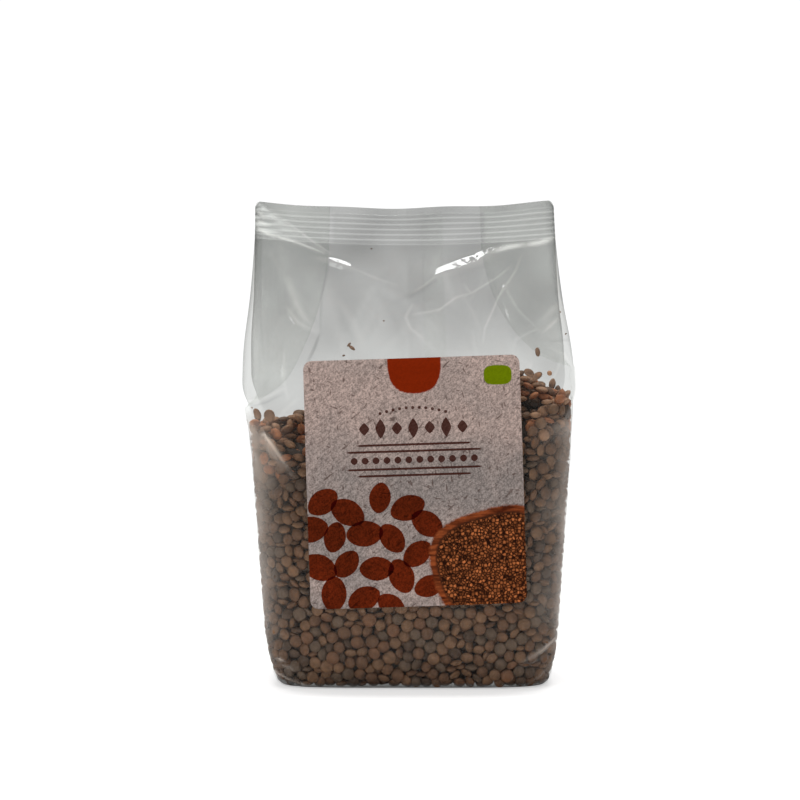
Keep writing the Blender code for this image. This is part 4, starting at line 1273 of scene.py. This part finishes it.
class LENTILBAG_OT_stage(bpy.types.Operator):
    """Sets the floor, the lights and the camera"""

    bl_idname = "lentilbag.stage"
    bl_label = "Set the stage"

    def execute(self, context):
        scene = context.scene
        made, tree, output = material_with("pale_floor")
        seen = node(tree, "ShaderNodeLightPath").outputs["Is Camera Ray"]
        glow = {"Emission_Color": (1, 1, 1, 1), "Emission_Strength": maths(tree, "MULTIPLY", seen, 0.50)}
        shader = principled(tree, (0.9, 0.9, 0.9, 1), 0.9, 0.0, **glow)
        tree.links.new(shader, output.inputs["Surface"])
        corners = [(x, y, -0.0004) for x, y in ((-1, -1), (1, -1), (1, 1), (-1, 1))]
        floor = new_piece("floor", corners, [(0, 1, 2, 3)], made, smooth=False)
        world = bpy.data.worlds.new("studio")
        scene.world = world
        world.use_nodes = True
        seen = node(world.node_tree, "ShaderNodeLightPath").outputs["Is Camera Ray"]
        brightness = maths(world.node_tree, "ADD", maths(world.node_tree, "MULTIPLY", seen, 0.68), 0.38)
        backdrop = world.node_tree.nodes["Background"]
        backdrop.inputs["Color"].default_value = (1, 1, 1, 1)
        world.node_tree.links.new(brightness, backdrop.inputs["Strength"])
        lights = (
            ("overhead", (0.0, 0.13, 0.95), (0.0, 0.0, 0.1), (0.7, 0.22), 8.0),
            ("front_left", (-0.75, -0.8, 0.65), (0.0, 0.0, 0.1), (0.35, 0.5), 2.2),
        )
        for name, place, target, size, power in lights:
            light = bpy.data.lights.new(name, "AREA")
            light.shape = "RECTANGLE"
            light.size, light.size_y = size
            light.energy = power
            lamp = bpy.data.objects.new(name, light)
            lamp.location = place
            lamp.rotation_euler = (Vector(target) - Vector(place)).to_track_quat("-Z", "Y").to_euler()
            scene.collection.objects.link(lamp)
        camera = bpy.data.cameras.new("camera")
        camera.sensor_width = SENSOR_WIDTH
        camera.lens = SENSOR_WIDTH / (2 * math.tan(VIEW_ANGLE / 2))
        camera.clip_start = 0.01
        eye = bpy.data.objects.new("camera", camera)
        aim = Vector(VIEW_AIM)
        back, up = VIEW_DISTANCE * math.cos(VIEW_TILT), VIEW_DISTANCE * math.sin(VIEW_TILT)
        eye.location = aim + Vector((0, -back, up))
        eye.rotation_euler = (aim - eye.location).to_track_quat("-Z", "Y").to_euler()
        scene.collection.objects.link(eye)
        scene.camera = eye
        scene.view_settings.view_transform = "Standard"
        scene.cycles.transparent_max_bounces = 32
        return {"FINISHED"}


class LENTILBAG_PT_panel(bpy.types.Panel):
    """Lists the bag's sizes, colours and steps"""

    bl_idname = "LENTILBAG_PT_panel"
    bl_label = "Lentil bag"
    bl_space_type = "VIEW_3D"
    bl_region_type = "UI"
    bl_category = "Lentil bag"

    def draw(self, context):
        scene = context.scene
        for group in (scene.bag_film, scene.bag_lentils, scene.bag_label):
            box = self.layout.box()
            for name in group.__annotations__:
                box.prop(group, name)
        for operator in OPERATORS:
            self.layout.operator(operator.bl_idname)


OPERATORS = (
    LENTILBAG_OT_lentils,
    LENTILBAG_OT_core,
    LENTILBAG_OT_film,
    LENTILBAG_OT_bits,
    LENTILBAG_OT_label,
    LENTILBAG_OT_stage,
)
CLASSES = (FilmSizes, LentilSizes, LabelColours, *OPERATORS, LENTILBAG_PT_panel)


def register():
    for item in CLASSES:
        bpy.utils.register_class(item)
    bpy.types.Scene.bag_film = PointerProperty(type=FilmSizes)
    bpy.types.Scene.bag_lentils = PointerProperty(type=LentilSizes)
    bpy.types.Scene.bag_label = PointerProperty(type=LabelColours)


def unregister():
    del bpy.types.Scene.bag_film, bpy.types.Scene.bag_lentils, bpy.types.Scene.bag_label
    for item in reversed(CLASSES):
        bpy.utils.unregister_class(item)


def main():
    register()
    bpy.ops.lentilbag.lentils()
    bpy.ops.lentilbag.core()
    bpy.ops.lentilbag.film()
    bpy.ops.lentilbag.bits()
    bpy.ops.lentilbag.label()
    bpy.ops.lentilbag.stage()


if __name__ == "__main__":
    main()
